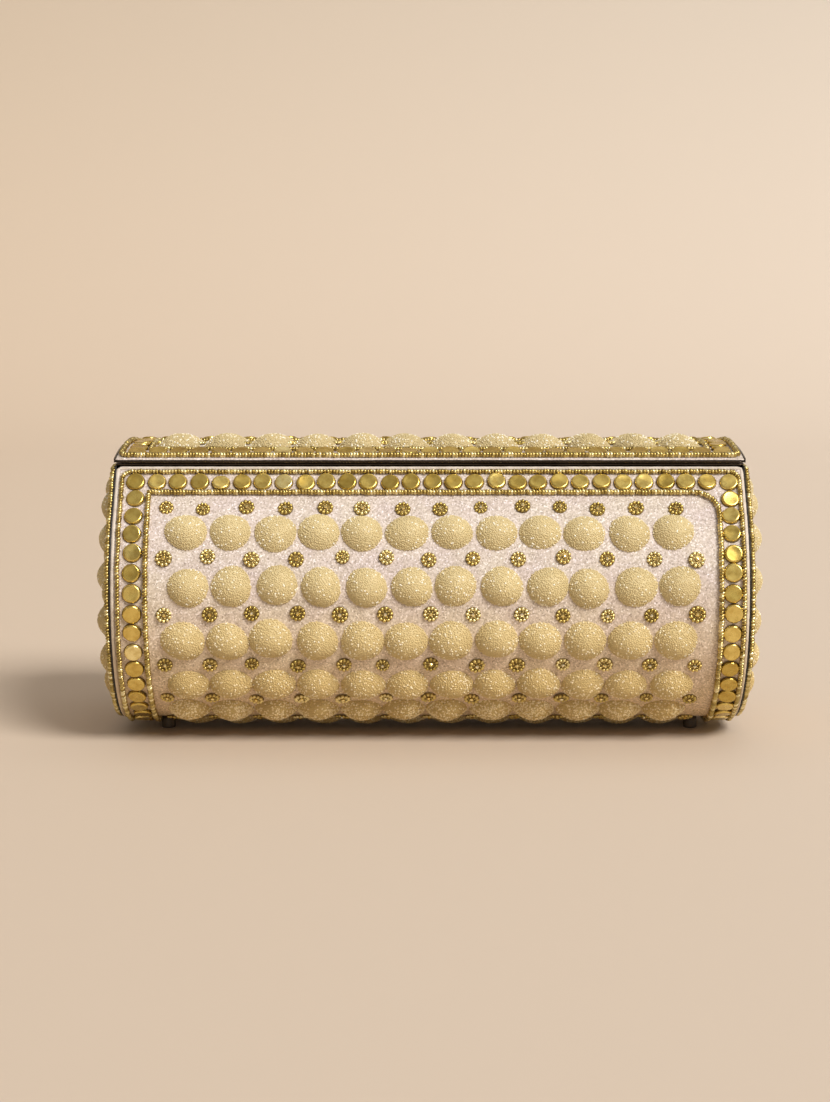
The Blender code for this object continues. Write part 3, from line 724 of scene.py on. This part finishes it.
def closed_path(points, pitch=None, count=None):
    """(points, turns) evenly spaced round a closed path: count of them, or about a pitch apart."""
    loop = np.concatenate((points, points[:1]))
    lengths = np.concatenate(([0.0], np.cumsum(np.linalg.norm(np.diff(loop, axis=0), axis=1))))
    count = count or round(lengths[-1] / pitch)
    at = np.arange(count) * lengths[-1] / count
    spaced, ahead = (
        np.stack([np.interp(places % lengths[-1], lengths, column) for column in loop.T], -1)
        for places in (at, at + 0.2 * MM)
    )
    direction = ahead - spaced
    direction /= np.linalg.norm(direction, axis=1, keepdims=True)
    return spaced, np.arctan2(direction[:, 1], direction[:, 0])


def plate_on_end(name, surface, profile, material):
    """A D-shaped plate on an end. profile runs over its rim from its outer face: (inset, lift)."""
    points = [surface(*outline(inset).T, lift) for inset, lift in profile]
    count = len(points[0])
    faces = grid_faces(len(profile), count, around=True)
    faces.append(tuple(range(count))[::-1])
    faces.append(tuple(range((len(profile) - 1) * count, len(profile) * count)))
    return add_faces(name, np.concatenate(points), faces, material)


def rim(inset, high, low, radius):
    """A profile for plate_on_end with a quarter-round outer edge."""
    turns = np.linspace(0, math.pi / 2, 5)
    edge = [(inset + radius * (1 - math.sin(a)), high - radius * (1 - math.cos(a))) for a in turns]
    return edge + [(inset, low)]


def build_ends():
    """The black board panels and the cloth over them."""
    low, high = PANEL_INNER - END_COVER_FACE, END_EDGE - END_COVER_FACE
    for surface, side in ENDS:
        lip = rim(0.0, high, high - LIP, 0.16 * MM) + [(0.9 * MM, high - LIP), (0.9 * MM, low)]
        panel = plate_on_end(f"{side}_board", surface, lip, "black_board")
        settle(panel, "body", "black_board", f"{side}_end_panel")
        edge = rim(END_COVER_INSET, 0.0, high + 0.05 * MM, 0.4 * MM)
        cloth = plate_on_end(f"{side}_end_cloth", surface, edge, "glitter_fabric")
        settle(cloth, "body", "cover_fabric", f"{side}_end_cover")


def build_lid_cover():
    """The cloth over the crowned lid, turned down round its edges."""
    rows, columns = 61, 181
    edge = 0.45 * MM
    corner = np.array((LID_EDGE - edge, LID_HALF_DEPTH - edge))
    u, v = grid(-corner, corner, rows, columns)
    points = lid(u, v, smooth_noise((rows, columns), (9, 28), 0.04 * MM)).reshape(-1, 3)
    faces = grid_faces(rows, columns)
    index = np.arange(rows * columns).reshape(rows, columns)
    border = [*index[0, :-1], *index[:-1, -1], *index[-1, :0:-1], *index[:0:-1, 0]]
    count = len(border)
    layers, previous = [], border
    # Each layer is the border again, so many mm further out and down.
    for out, drop in ((0.3, 0.12), (0.45, 0.45), (0.45, 0.9), (0.1, 1.0)):
        ring = points[border]
        for axis, half in enumerate((LID_EDGE, LID_HALF_DEPTH)):
            outer = np.abs(ring[:, axis]) > half - 1.2 * edge
            ring[:, axis] += np.where(outer, np.sign(ring[:, axis]) * out * MM, 0.0)
        ring[:, 2] = LID_LOW.z if drop == 1.0 else np.maximum(ring[:, 2] - drop * MM, LID_LOW.z)
        start = len(points) + len(layers) * count
        current = range(start, start + count)
        for i in range(count):
            j = (i + 1) % count
            faces.append((previous[i], current[i], current[j], previous[j]))
        layers.append(ring)
        previous = current
    obj = add_faces("lid_cloth", np.concatenate([points, *layers]), faces, "glitter_fabric")
    solidify(obj, LID_CLOTH)
    settle(obj, "lid", "cover_fabric", "lid_cover")


def build_linings():
    """A satin tub in the body with soft folds, and a satin panel in the lid."""
    half_length = PANEL_INNER - SATIN_GAP
    edge = 0.2 * MM
    rows, columns = 141, 121
    u, v = grid((-half_length, -edge), (half_length, edge - GIRTH), rows, columns)
    folds = np.clip(smooth_noise((rows, columns), (10, 46), 0.16 * MM), -0.35 * MM, 0.0)
    points = wall(u, v, folds - SATIN_INSET).reshape(-1, 3)
    points[:, 2] = np.minimum(points[:, 2], BODY_TOP - 0.05 * MM)
    walls = add_faces("body_satin", points, grid_faces(rows, columns), "lining_satin")
    solidify(walls, BODY_SATIN, 1.0)
    settle(walls, "body", "lining_satin", "body_lining")
    lift = PANEL_INNER - END_COVER_FACE - SATIN_GAP
    for surface, side in ENDS:
        profile = rim(SATIN_INSET, lift, lift - BODY_SATIN, 0.1 * MM)
        end = plate_on_end(f"{side}_satin", surface, profile, "lining_satin")
        settle(end, "body", "lining_satin")
    low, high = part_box("lid_lining")
    rows, columns = 41, 121
    u, v = grid(low, high, rows, columns)
    near_edge = np.minimum(np.minimum(u - low.x, high.x - u), np.minimum(v - low.y, high.y - v))
    puff = 0.5 * MM * (1 - np.exp(-near_edge / (4 * MM))) + smooth_noise((rows, columns), (8, 30), 0.05 * MM)
    points = np.stack((u, v, low.z + 0.15 * MM - puff), -1).reshape(-1, 3)
    obj = add_faces("lid_satin", points, flipped(grid_faces(rows, columns)), "lining_satin")
    solidify(obj, LID_SATIN)
    settle(obj, "lid", "lining_satin", "lid_lining")


# -------- piping, strands and studs


def rounded_rectangle(low, high, radii):
    """Points round a rectangle between two corners (u, v).

    radii are those of its corners (low, low), (high, low), (high, high) and (low, high).
    """
    signs = ((1, 1), (-1, 1), (-1, -1), (1, -1))
    points = []
    for quarter, ((du, dv), radius) in enumerate(zip(signs, radii)):
        u, v = (low if du > 0 else high)[0], (low if dv > 0 else high)[1]
        for angle in np.linspace(0, math.pi / 2, 7):
            turn = math.pi + quarter * math.pi / 2 + angle
            c, s = radius * math.cos(turn), radius * math.sin(turn)
            points.append((u + du * radius + c, v + dv * radius + s))
    return np.array(points)


def strand_bead():
    """A flat seed bead of radius 1, turned about the string that it is on."""
    half = [(0, 0.56), (0.5, 0.54), (0.86, 0.34)]
    return turned(half + [(1.0, 0.0)] + [(r, -h) for r, h in half[::-1]], 12)


def add_strand(name, surface, path, radius=BEAD_RADIUS, base=0.0):
    """Seed beads on a thread along a closed path on a surface, each a little out of line."""
    spaced, turn = closed_path(path, BEAD_PITCH)
    count = len(spaced)
    lifts = base + 0.85 * radius + RNG.normal(0.0, 0.07 * MM, count)
    spaced = spaced + RNG.normal(0.0, 0.06 * MM, spaced.shape)
    points, rotations = frames(surface, *spaced.T, lifts, turn)
    across, up, out = (rotations[..., k] for k in range(3))
    slant = BEAD_SLANT + RNG.normal(0.0, 0.12, (count, 1))
    axis = across * np.cos(slant) + up * np.sin(slant)
    rotations = np.stack((np.cross(out, axis), out, axis), -1)
    scales = radius * RNG.normal(1.0, 0.05, count)
    beads = add_copies(f"{name}_beads", strand_bead(), points, rotations, "gold_bead", scales)
    lift = base + 0.4 * radius
    thread = add_tube(f"{name}_beads_thread", surface, path, lift, THREAD_RADIUS * radius, "couching_thread")
    strand = joined(f"{name}_beads", [beads, thread])
    settle(strand, body_of(surface), "gold_beads", f"{name}_bead_strand")


def body_path(line, shift, radii):
    edge = END_EDGE - line
    return rounded_rectangle((shift - edge, line - GIRTH), (shift + edge, -line), radii)


def lid_path(line, radii):
    edge, depth = LID_EDGE - line, LID_HALF_DEPTH - line
    return rounded_rectangle((-edge, -depth), (edge, depth), radii)


def build_strands():
    """Gold seed beads along both sides of each line of studs, and round each end."""
    near, square, cut = 3.0 * MM, 0.8 * MM, 8.0 * MM
    add_strand("body_outer", wall, body_path(OUTER_BEADS, OUTER_SHIFT, (near,) * 4))
    path = body_path(INNER_BEADS, INNER_SHIFT, (square, square, cut, square))
    add_strand("body_inner", wall, path, INNER_BEAD_RADIUS)
    add_strand("lid_outer", lid, lid_path(LID_OUTER_BEADS, (near,) * 4), INNER_BEAD_RADIUS)
    add_strand("lid_inner", lid, lid_path(INNER_BEADS, (square,) * 4))
    for surface, side in ENDS:
        add_strand(f"{side}_end", surface, outline(END_BEADS), base=END_EDGE - END_COVER_FACE)


def add_tube(name, surface, path, lift, radius, material):
    """A cord along a closed path on a surface, a little uneven in thickness."""
    sides = 10
    spaced, turn = closed_path(path, 1.2 * MM)
    points, rotations = frames(surface, *spaced.T, lift, turn)
    angles = 2 * math.pi * np.arange(sides) / sides
    ring = np.stack((0 * angles, np.cos(angles), np.sin(angles)), -1) * radius
    thickness = 1 + RNG.normal(0.0, 0.025, (len(points), 1, 1))
    placed = points[:, None, :] + np.einsum("nij,vj->nvi", rotations, ring) * thickness
    faces = flipped(grid_faces(len(points), sides, around=True, closed=True))
    return add_faces(name, placed.reshape(-1, 3), faces, material)


def build_piping():
    """White cord in the gap between the cloth and the black edges."""
    edge = END_EDGE - LIP - 0.03 * MM - PIPING_RADIUS
    path = rounded_rectangle((-edge, PIPING_LINE - GIRTH), (edge, -PIPING_LINE), (0.9 * MM,) * 4)
    obj = add_tube("body_edge_piping", wall, path, -0.34 * MM, PIPING_RADIUS, "satin_piping")
    settle(obj, "body", "piping_satin", "body_piping")


def stud_templates():
    """A flat stud of radius 1, with a rolled rim and a shallow dish, and the thread round its foot, which
    also stands as painted shade round the stud.
    """
    plate = [(0, 0.3), (0.5, 0.305), (0.74, 0.32), (0.83, 0.325), (0.91, 0.3), (0.97, 0.24), (1.0, 0.16)]
    plate += [(1.0, 0.03), (0.98, 0.0), (0, 0.0)]
    ring = [(0, 0.1), (0.95, 0.1), (1.03, 0.085), (1.06, 0.045), (1.05, 0.0), (0, 0.0)]
    return turned(plate, 36), turned(ring, 28)


def add_studs(name, surface, u, v, lean=0.0):
    """Studs at (u, v), each with a dark thread round it that is partly painted shade. lean turns them all
    about X.
    """
    count = len(u)
    u, v = (place + RNG.normal(0.0, wander, count) for place, wander in zip((u, v), STUD_WANDER))
    turn = RNG.uniform(0, FULL_TURN, count)
    scales = STUD_RADIUS * RNG.normal(1.0, 0.012, count)
    plate, ring = stud_templates()
    points, rotations = frames(surface, u, v, 0.01 * MM, turn)
    rings = add_copies(f"{name}_studs_thread_shade", ring, points, rotations, "couching_thread", scales)
    lift = STUD_BASE + 0.6 * STUD_RADIUS * math.sin(abs(lean))
    points, rotations = frames(surface, u, v, lift, turn)
    rotations = np.array(Matrix.Rotation(lean, 3, "X")) @ tilted(rotations, UNEVENNESS)
    plates = add_copies(f"{name}_studs", plate, points, rotations, "gold_stud", scales)
    studs = joined(f"{name}_studs", [plates, rings])
    settle(studs, body_of(surface), "gold_studs", f"{name}_stud_band")


def build_studs():
    """Rows of studs along the mouth and the lid's edges, and columns that run right round the barrel."""
    edge, lid_edge = END_EDGE - STUD_LINE, LID_EDGE - STUD_LINE
    row = STUD_SHIFT + np.linspace(-edge, edge, STUDS_IN_ROW)
    lid_row = np.linspace(-lid_edge, lid_edge, STUDS_IN_ROW)
    length = GIRTH - 2 * STUD_LINE
    steps = round(length / STUD_PITCH)
    column = -(STUD_LINE + length * np.arange(1, steps) / steps)
    add_studs("front", wall, row, -STUD_LINE)
    add_studs("back", wall, row, STUD_LINE - GIRTH)
    depth = LID_HALF_DEPTH - LID_STUD_LINE
    lid_column = np.linspace(-depth, depth, LID_END_STUDS + 2)[1:-1]
    for side, name in ((-1, "left"), (1, "right")):
        add_studs(name, wall, np.full(len(column), STUD_SHIFT + side * edge), column)
        add_studs(f"lid_{name}", lid, np.full(LID_END_STUDS, side * lid_edge), lid_column)
    for side, name in ((-1, "front"), (1, "back")):
        add_studs(f"lid_{name}", lid, lid_row, side * depth, -side * LID_STUD_LEAN)


# -------- domes


def dome_height(share, height):
    """A dome's height at a share of the way from its middle to its edge."""
    return height * (1 - share**2) ** 0.95


def bead_layout(count):
    """(share, angle) of beads that cover a dome evenly."""
    radii = np.linspace(0, 1, 200)
    heights = dome_height(radii, DOME_HEIGHT)
    reach = DOME_WIDTH / 2
    slant = np.sqrt(np.diff(radii * reach) ** 2 + np.diff(heights) ** 2)
    area = np.concatenate(([0.0], np.cumsum((radii[1:] + radii[:-1]) / 2 * slant)))
    share = (np.arange(count) + 0.5) / count * area[-1]
    radius = np.interp(share, area, radii)
    golden = math.pi * (3 - math.sqrt(5))
    return radius, golden * np.arange(count)


def add_domes(name, node, surface, u, v, size, look, count=CAVIAR_PER_DOME):
    """Padded domes at (u, v), each with its own small irregularities, and the tiny beads on them.

    look is how pale the beads are, darker for painted shade, and the share of them that are almost white, as
    painted glints.
    """
    width, depth, height = size
    shade, bright = look
    body = body_of(surface)
    radius, angle = bead_layout(count)
    pad_radius = np.repeat(np.linspace(0.04, 1.0, PAD_RINGS), PAD_SIDES)
    pad_angle = np.tile(2 * math.pi * np.arange(PAD_SIDES) / PAD_SIDES, PAD_RINGS)
    pad_faces = flipped(grid_faces(PAD_RINGS, PAD_SIDES, around=True)) + [tuple(range(PAD_SIDES))]
    beads, pads = [], []
    for centre_u, centre_v in np.broadcast(u, v):
        centre_u += RNG.normal(0.0, DOME_WANDER)
        centre_v += RNG.normal(0.0, DOME_WANDER)
        wide = width / 2 * RNG.normal(0.985, DOME_SPREAD)
        deep = depth / 2 * RNG.normal(0.985, DOME_SPREAD)
        tall = RNG.normal(1.0, 0.03)
        phase, lobe = RNG.uniform(0, FULL_TURN, 2)

        def shape(share, turn):
            bulge = 1 + 0.018 * np.cos(3 * turn + phase) + 0.022 * np.cos(2 * turn + lobe)
            return (
                centre_u + wide * share * bulge * np.cos(turn),
                centre_v + deep * share * bulge * np.sin(turn),
                tall * dome_height(np.clip(share, 0, 1), height),
            )

        turn = angle + RNG.uniform(0, FULL_TURN)
        turn = turn + RNG.normal(0.0, CAVIAR_WANDER, count) / np.maximum(radius, 0.05)
        share = np.clip(radius + RNG.normal(0.0, CAVIAR_WANDER, count), 0, 0.995)
        x, y, h = shape(share, turn)
        patch = np.cos(turn - lobe) * share
        tint = shade + TINT_SPREAD * (RNG.random(count) - 0.5) + 0.08 * patch + RNG.normal(0.0, 0.04)
        # Painted glints: a share of the beads are almost white.
        sparkle = RNG.random(count) < bright * (1 + 0.6 * patch)
        lifts = np.where(sparkle, SPARKLE_LIFT, PLAIN_LIFT) + RNG.normal(0.0, 0.025 * MM, count)
        scales = CAVIAR_RADIUS * np.where(sparkle, SPARKLE_SCALE, RNG.normal(1.0, 0.06, count))
        tints = np.where(sparkle, RNG.uniform(0.93, 1.0, count), np.clip(tint, 0, 0.9))
        beads.append((surface(x, y, h + lifts), scales, tints))
        x, y, h = shape(pad_radius, pad_angle)
        pads.append((surface(x, y, h + PAD_RAISE * (1 - pad_radius**4)), pad_faces))
    points, faces = merged(pads)
    obj = add_faces(f"{name}_pads", points, faces, "dome_ground", np.full(len(points), shade))
    settle(obj, body, "dome_beads", node)
    for first in range(0, len(beads), DOMES_IN_PIECE):
        places, scales, tints = (np.concatenate(a) for a in zip(*beads[first : first + DOMES_IN_PIECE]))
        piece = f"{name}_caviar" if first == 0 else f"{name}_caviar_{first // DOMES_IN_PIECE + 1}"
        obj = add_copies(piece, ball(), places, None, "caviar_beads", scales, tints)
        settle(obj, body, "dome_beads")


def build_domes():
    steps = np.arange(DOMES_IN_ROW) - (DOMES_IN_ROW - 1) / 2
    for row, (*sizes, shade, bright) in enumerate(DOME_ROWS, 1):
        distance, pitch, shift, width, depth = (value * MM for value in sizes)
        size = (width, depth, BASE_DOME_HEIGHT if row == len(DOME_ROWS) else DOME_HEIGHT)
        across = shift + pitch * steps
        for name, u, v in (("front", across, -distance), ("back", -across, distance - GIRTH)):
            add_domes(f"{name}_row_{row}", f"{name}_dome_row_{row}", wall, u, v, size, (shade, bright))
    u = LID_DOME_PITCH * steps
    for side, name, height in ((-1, "front", LID_FRONT_DOME_HEIGHT), (1, "back", LID_BACK_DOME_HEIGHT)):
        size = (LID_DOME_WIDTH, DOME_DEPTH, height)
        add_domes(f"lid_{name}_row", f"lid_{name}_dome_row", lid, u, side * LID_ROW_Y, size, LID_SHADE_AND_GLINTS)
    u, v = end_places().T
    count = int(CAVIAR_PER_DOME * (END_DOME_WIDTH / DOME_WIDTH) ** 2)
    size = (END_DOME_WIDTH, END_DOME_WIDTH, DOME_HEIGHT)
    for surface, side in ENDS:
        add_domes(f"{side}_end", f"{side}_end_domes", surface, u, v, size, END_SHADE_AND_GLINTS, count)


def end_ring(inset, count):
    """Places (y, z) evenly round an end at an inset, the first in the middle of its base."""
    ring = outline(inset)
    half = len(ring) // 2
    base = np.array([[0.0, ring[half][1]]])
    return closed_path(np.concatenate((base, ring[half:], ring[:half])), count=count)[0]


def end_places():
    across, up = END_CLUSTER_PITCH
    cluster = [(y * across, AXIS_HEIGHT - 0.4 * MM + z * up) for y, z in END_CLUSTER]
    return np.concatenate([cluster] + [end_ring(inset, count) for inset, count in END_RINGS])


# -------- rosettes


def rosette_parts():
    """A rosette of radius 1: its dark cup, two rings of gold petals and the cut stone in its middle."""
    cup = turned([(0, 0.2), (0.6, 0.2), (0.86, 0.15), (0.96, 0.06), (0.96, 0.0), (0, 0.0)], 20)
    petal, faces = turned([(0, 0.25), (0.15, 0.2), (0.23, 0.04), (0.2, -0.14), (0, -0.24)], 8)
    stone = turned([(0, 0.5), (0.14, 0.48), (0.24, 0.38), (0.25, 0.2), (0, 0.18)], 8)
    petals = []
    for count, place, scale, height in PETAL_RINGS:
        lying = petal @ np.array(((0, scale, 0), (0, 0, scale), (scale, 0, 0)))
        for angle in 2 * math.pi * np.arange(count) / count:
            c, s = math.cos(angle), math.sin(angle)
            spun = lying @ np.array(((c, s, 0), (-s, c, 0), (0, 0, 1)))
            petals.append((spun + (place * c, place * s, height), faces))
    return cup, merged(petals), stone


def add_rosettes(name, surface, u, v):
    count = len(u)
    u, v = (place + RNG.normal(0.0, wander, count) for place, wander in zip((u, v), ROSETTE_WANDER))
    points, rotations = frames(surface, u, v, 0.02 * MM, RNG.uniform(0, FULL_TURN, count))
    rotations = tilted(rotations, UNEVENNESS)
    scales = ROSETTE_RADIUS * RNG.normal(1.0, 0.05, count)
    cup, petals, stone = rosette_parts()
    tints = RNG.random(count)
    parts = [
        add_copies(f"{name}_cups", cup, points, rotations, "rosette_cup", scales),
        add_copies(f"{name}_petals", petals, points, rotations, "rosette_gold", scales),
        add_copies(f"{name}_stones", stone, points, rotations, "rosette_stone", scales, tints, smooth=False),
    ]
    settle(joined(name, parts), body_of(surface), "gold_beads")


def build_rosettes():
    """Small gold rosettes in the gaps between the domes."""
    half, lid_half = (pitch * (ROSETTES_IN_ROW - 1) / 2 for pitch in (DOME_PITCH, LID_DOME_PITCH))
    across = np.linspace(-half, half, ROSETTES_IN_ROW)
    front, back = [(u, -HALF_GIRTH) for u in across], []
    for row, place in enumerate(ROSETTE_PLACES):
        for u in np.linspace(*FIRST_ROSETTE_SPAN, FIRST_ROSETTES) if row == 0 else across:
            front.append((u, -place * MM))
            back.append((-u, place * MM - GIRTH))
    for name, places in (("front", front), ("back", back)):
        add_rosettes(f"{name}_rosettes", wall, *np.array(places).T)
    add_rosettes("lid_rosettes", lid, np.linspace(-lid_half, lid_half, ROSETTES_IN_ROW), 0.0)


# -------- metal


def lathed(loop, sides):
    """(points, faces) of a ring-shaped solid: a closed loop of (radius, height) turned about Z."""
    return np.array(round_points(loop, sides)), grid_faces(len(loop), sides, around=True, closed=True)


def rounded_box(size, middle, radius):
    """(points, faces) of a box with bevelled edges."""
    bm = bmesh.new()
    bmesh.ops.create_cube(bm, size=1.0)
    bmesh.ops.scale(bm, vec=size, verts=bm.verts)
    bmesh.ops.bevel(bm, geom=bm.edges[:], offset=radius, segments=3, affect="EDGES", profile=0.5)
    points, faces = from_bmesh(bm)
    return points + middle, faces


def frame_ring(bottom):
    """(points, faces) of a flat metal ring round the mouth, with rounded edges."""
    top = bottom + FRAME_THICKNESS
    soft, cut = 0.2 * MM, 0.06 * MM
    edge = [(soft, bottom), (cut, bottom + cut), (0.0, bottom + soft)]
    edge += [(0.0, top - soft), (cut, top - cut), (soft, top)]
    loops = [(FRAME_HALF_LENGTH - inset, FRAME_HALF_DEPTH - inset, z) for inset, z in edge]
    loops += [(MOUTH_HALF_LENGTH, MOUTH_HALF_DEPTH, z) for z in (top, bottom)]
    points = []
    for x, y, z in loops:
        ring = rounded_rectangle((-x, -y), (x, y), (FRAME_CORNER,) * 4)
        points.append(np.column_stack((ring, np.full(len(ring), z))))
    return np.concatenate(points), grid_faces(len(points), len(points[0]), around=True, closed=True)


def end_lip(side):
    """(points, faces) of the frame's thin lip beside the cloth at the lid's left (-1) or right (1) end."""
    v = np.linspace(-LID_HALF_DEPTH, LID_HALF_DEPTH, 49)
    count = len(v)
    bottom = np.full(count, LID_FRAME_BOTTOM + 0.05 * MM)
    top = lid(0.0, v, 0.08 * MM)[:, 2]
    inner, outer = (side * (LID_EDGE + place) for place in LID_LIP_PLACE)
    corners = ((inner, bottom), (inner, top), (outer, top), (outer, bottom))
    points = np.concatenate([np.column_stack((np.full(count, x), v, z)) for x, z in corners])
    first = tuple(range(0, len(points), count))
    faces = grid_faces(len(corners), count, closed=True)
    faces += [first, tuple(k + count - 1 for k in first[::-1])]
    return points, faces if side < 0 else flipped(faces)


def knuckle():
    """(points, faces) of a hinge knuckle along X, with rounded ends and the pin's hole."""
    half = (KNUCKLE_PITCH - GAP) / 2
    soft = 0.15 * MM
    loop = [(KNUCKLE_BORE, -half), (KNUCKLE_RADIUS - soft, -half), (KNUCKLE_RADIUS, soft - half)]
    loop += [(KNUCKLE_RADIUS, half - soft), (KNUCKLE_RADIUS - soft, half), (KNUCKLE_BORE, half)]
    points, faces = lathed(loop, 32)
    return points @ Z_TO_X, faces


def build_frames(pin_y, pin_z):
    """The two frames with their shares of the knuckles, and the lips on the lid's frame."""
    front = FRAME_HALF_DEPTH - 0.5 * MM
    back = pin_y - 1.0 * MM
    for body, bottom, first in (("body", BODY_FRAME_BOTTOM, 0), ("lid", LID_FRAME_BOTTOM, 1)):
        parts = [frame_ring(bottom)]
        for index in range(first, KNUCKLES, 2):
            x = (index - (KNUCKLES - 1) / 2) * KNUCKLE_PITCH
            points, faces = knuckle()
            parts.append((points + (x, pin_y, pin_z), faces))
            size = (KNUCKLE_PITCH - 3 * GAP, back - front, 0.45 * MM)
            middle = (x, (front + back) / 2, bottom + FRAME_THICKNESS / 2)
            parts.append(rounded_box(size, middle, 0.12 * MM))
        if body == "lid":
            parts += [end_lip(-1), end_lip(1)]
        ring = add_faces(f"{body}_metal_frame", *merged(parts), "dark_frame", smooth=False)
        settle(ring, body, "dark_metal", f"{body}_frame")


def build_metal():
    """The frames, the hinge's pin, the feet and the magnets."""
    low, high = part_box("hinge_pin")
    pin_y, pin_z = (low.yz + high.yz) / 2
    build_frames(pin_y, pin_z)
    half = high.x
    head = ((0, 0), (0.8, 0.05), (1.1, 0.25), (1.2, 0.5), (1.15, 0.9), (0.6, 0.9))
    profile = [(r * MM, half - down * MM) for r, down in head]
    profile += [(r, -h) for r, h in profile[::-1]]
    points, faces = turned(profile, 28)
    pin = add_faces("hinge_rod", points @ Z_TO_X + (0, pin_y, pin_z), faces, "dark_frame")
    settle(pin, "body", "dark_metal", "hinge_pin")
    for place in ("front_left", "front_right", "back_left", "back_right"):
        low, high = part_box(f"foot_{place}")
        top = high.z
        profile = [(0, top), (2.0, top), (2.3, top - 0.2 * MM), (2.4, top - 0.6 * MM)]
        profile += [(2.4, 0.6 * MM), (2.3, 0.2 * MM), (2.0, 0.0), (0, 0.0)]
        points, faces = turned([(r * MM, h) for r, h in profile], 32)
        points = points + ((low.x + high.x) / 2, (low.y + high.y) / 2, 0)
        foot = add_faces(f"{place}_foot", points, faces, "foot_metal")
        settle(foot, "body", "dark_metal", f"foot_{place}")
    for side in ("left", "right"):
        low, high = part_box(f"closure_magnet_{side}")
        box = rounded_box(tuple(high - low), tuple((low + high) / 2), 0.4 * MM)
        magnet = add_faces(f"{side}_magnet", *box, "nickel", smooth=False)
        settle(magnet, "body", "magnet_nickel", f"closure_magnet_{side}")


def build_boards():
    """The two boards under the cloth, seen only through gaps, with softened edges."""
    for node in ("body_shell", "lid_board"):
        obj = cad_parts[node]
        obj.data.materials.clear()
        obj.data.materials.append(MATERIALS["black_board"])
        bevel = obj.modifiers.new("soft_edges", "BEVEL")
        bevel.width = 0.15 * MM
        bevel.segments = 2


build_cloths()
build_metals()
build_camera()
build_light()
build_stage()
build_body_cover()
build_ends()
build_lid_cover()
build_linings()
build_piping()
build_strands()
build_studs()
build_domes()
build_rosettes()
build_metal()
build_boards()
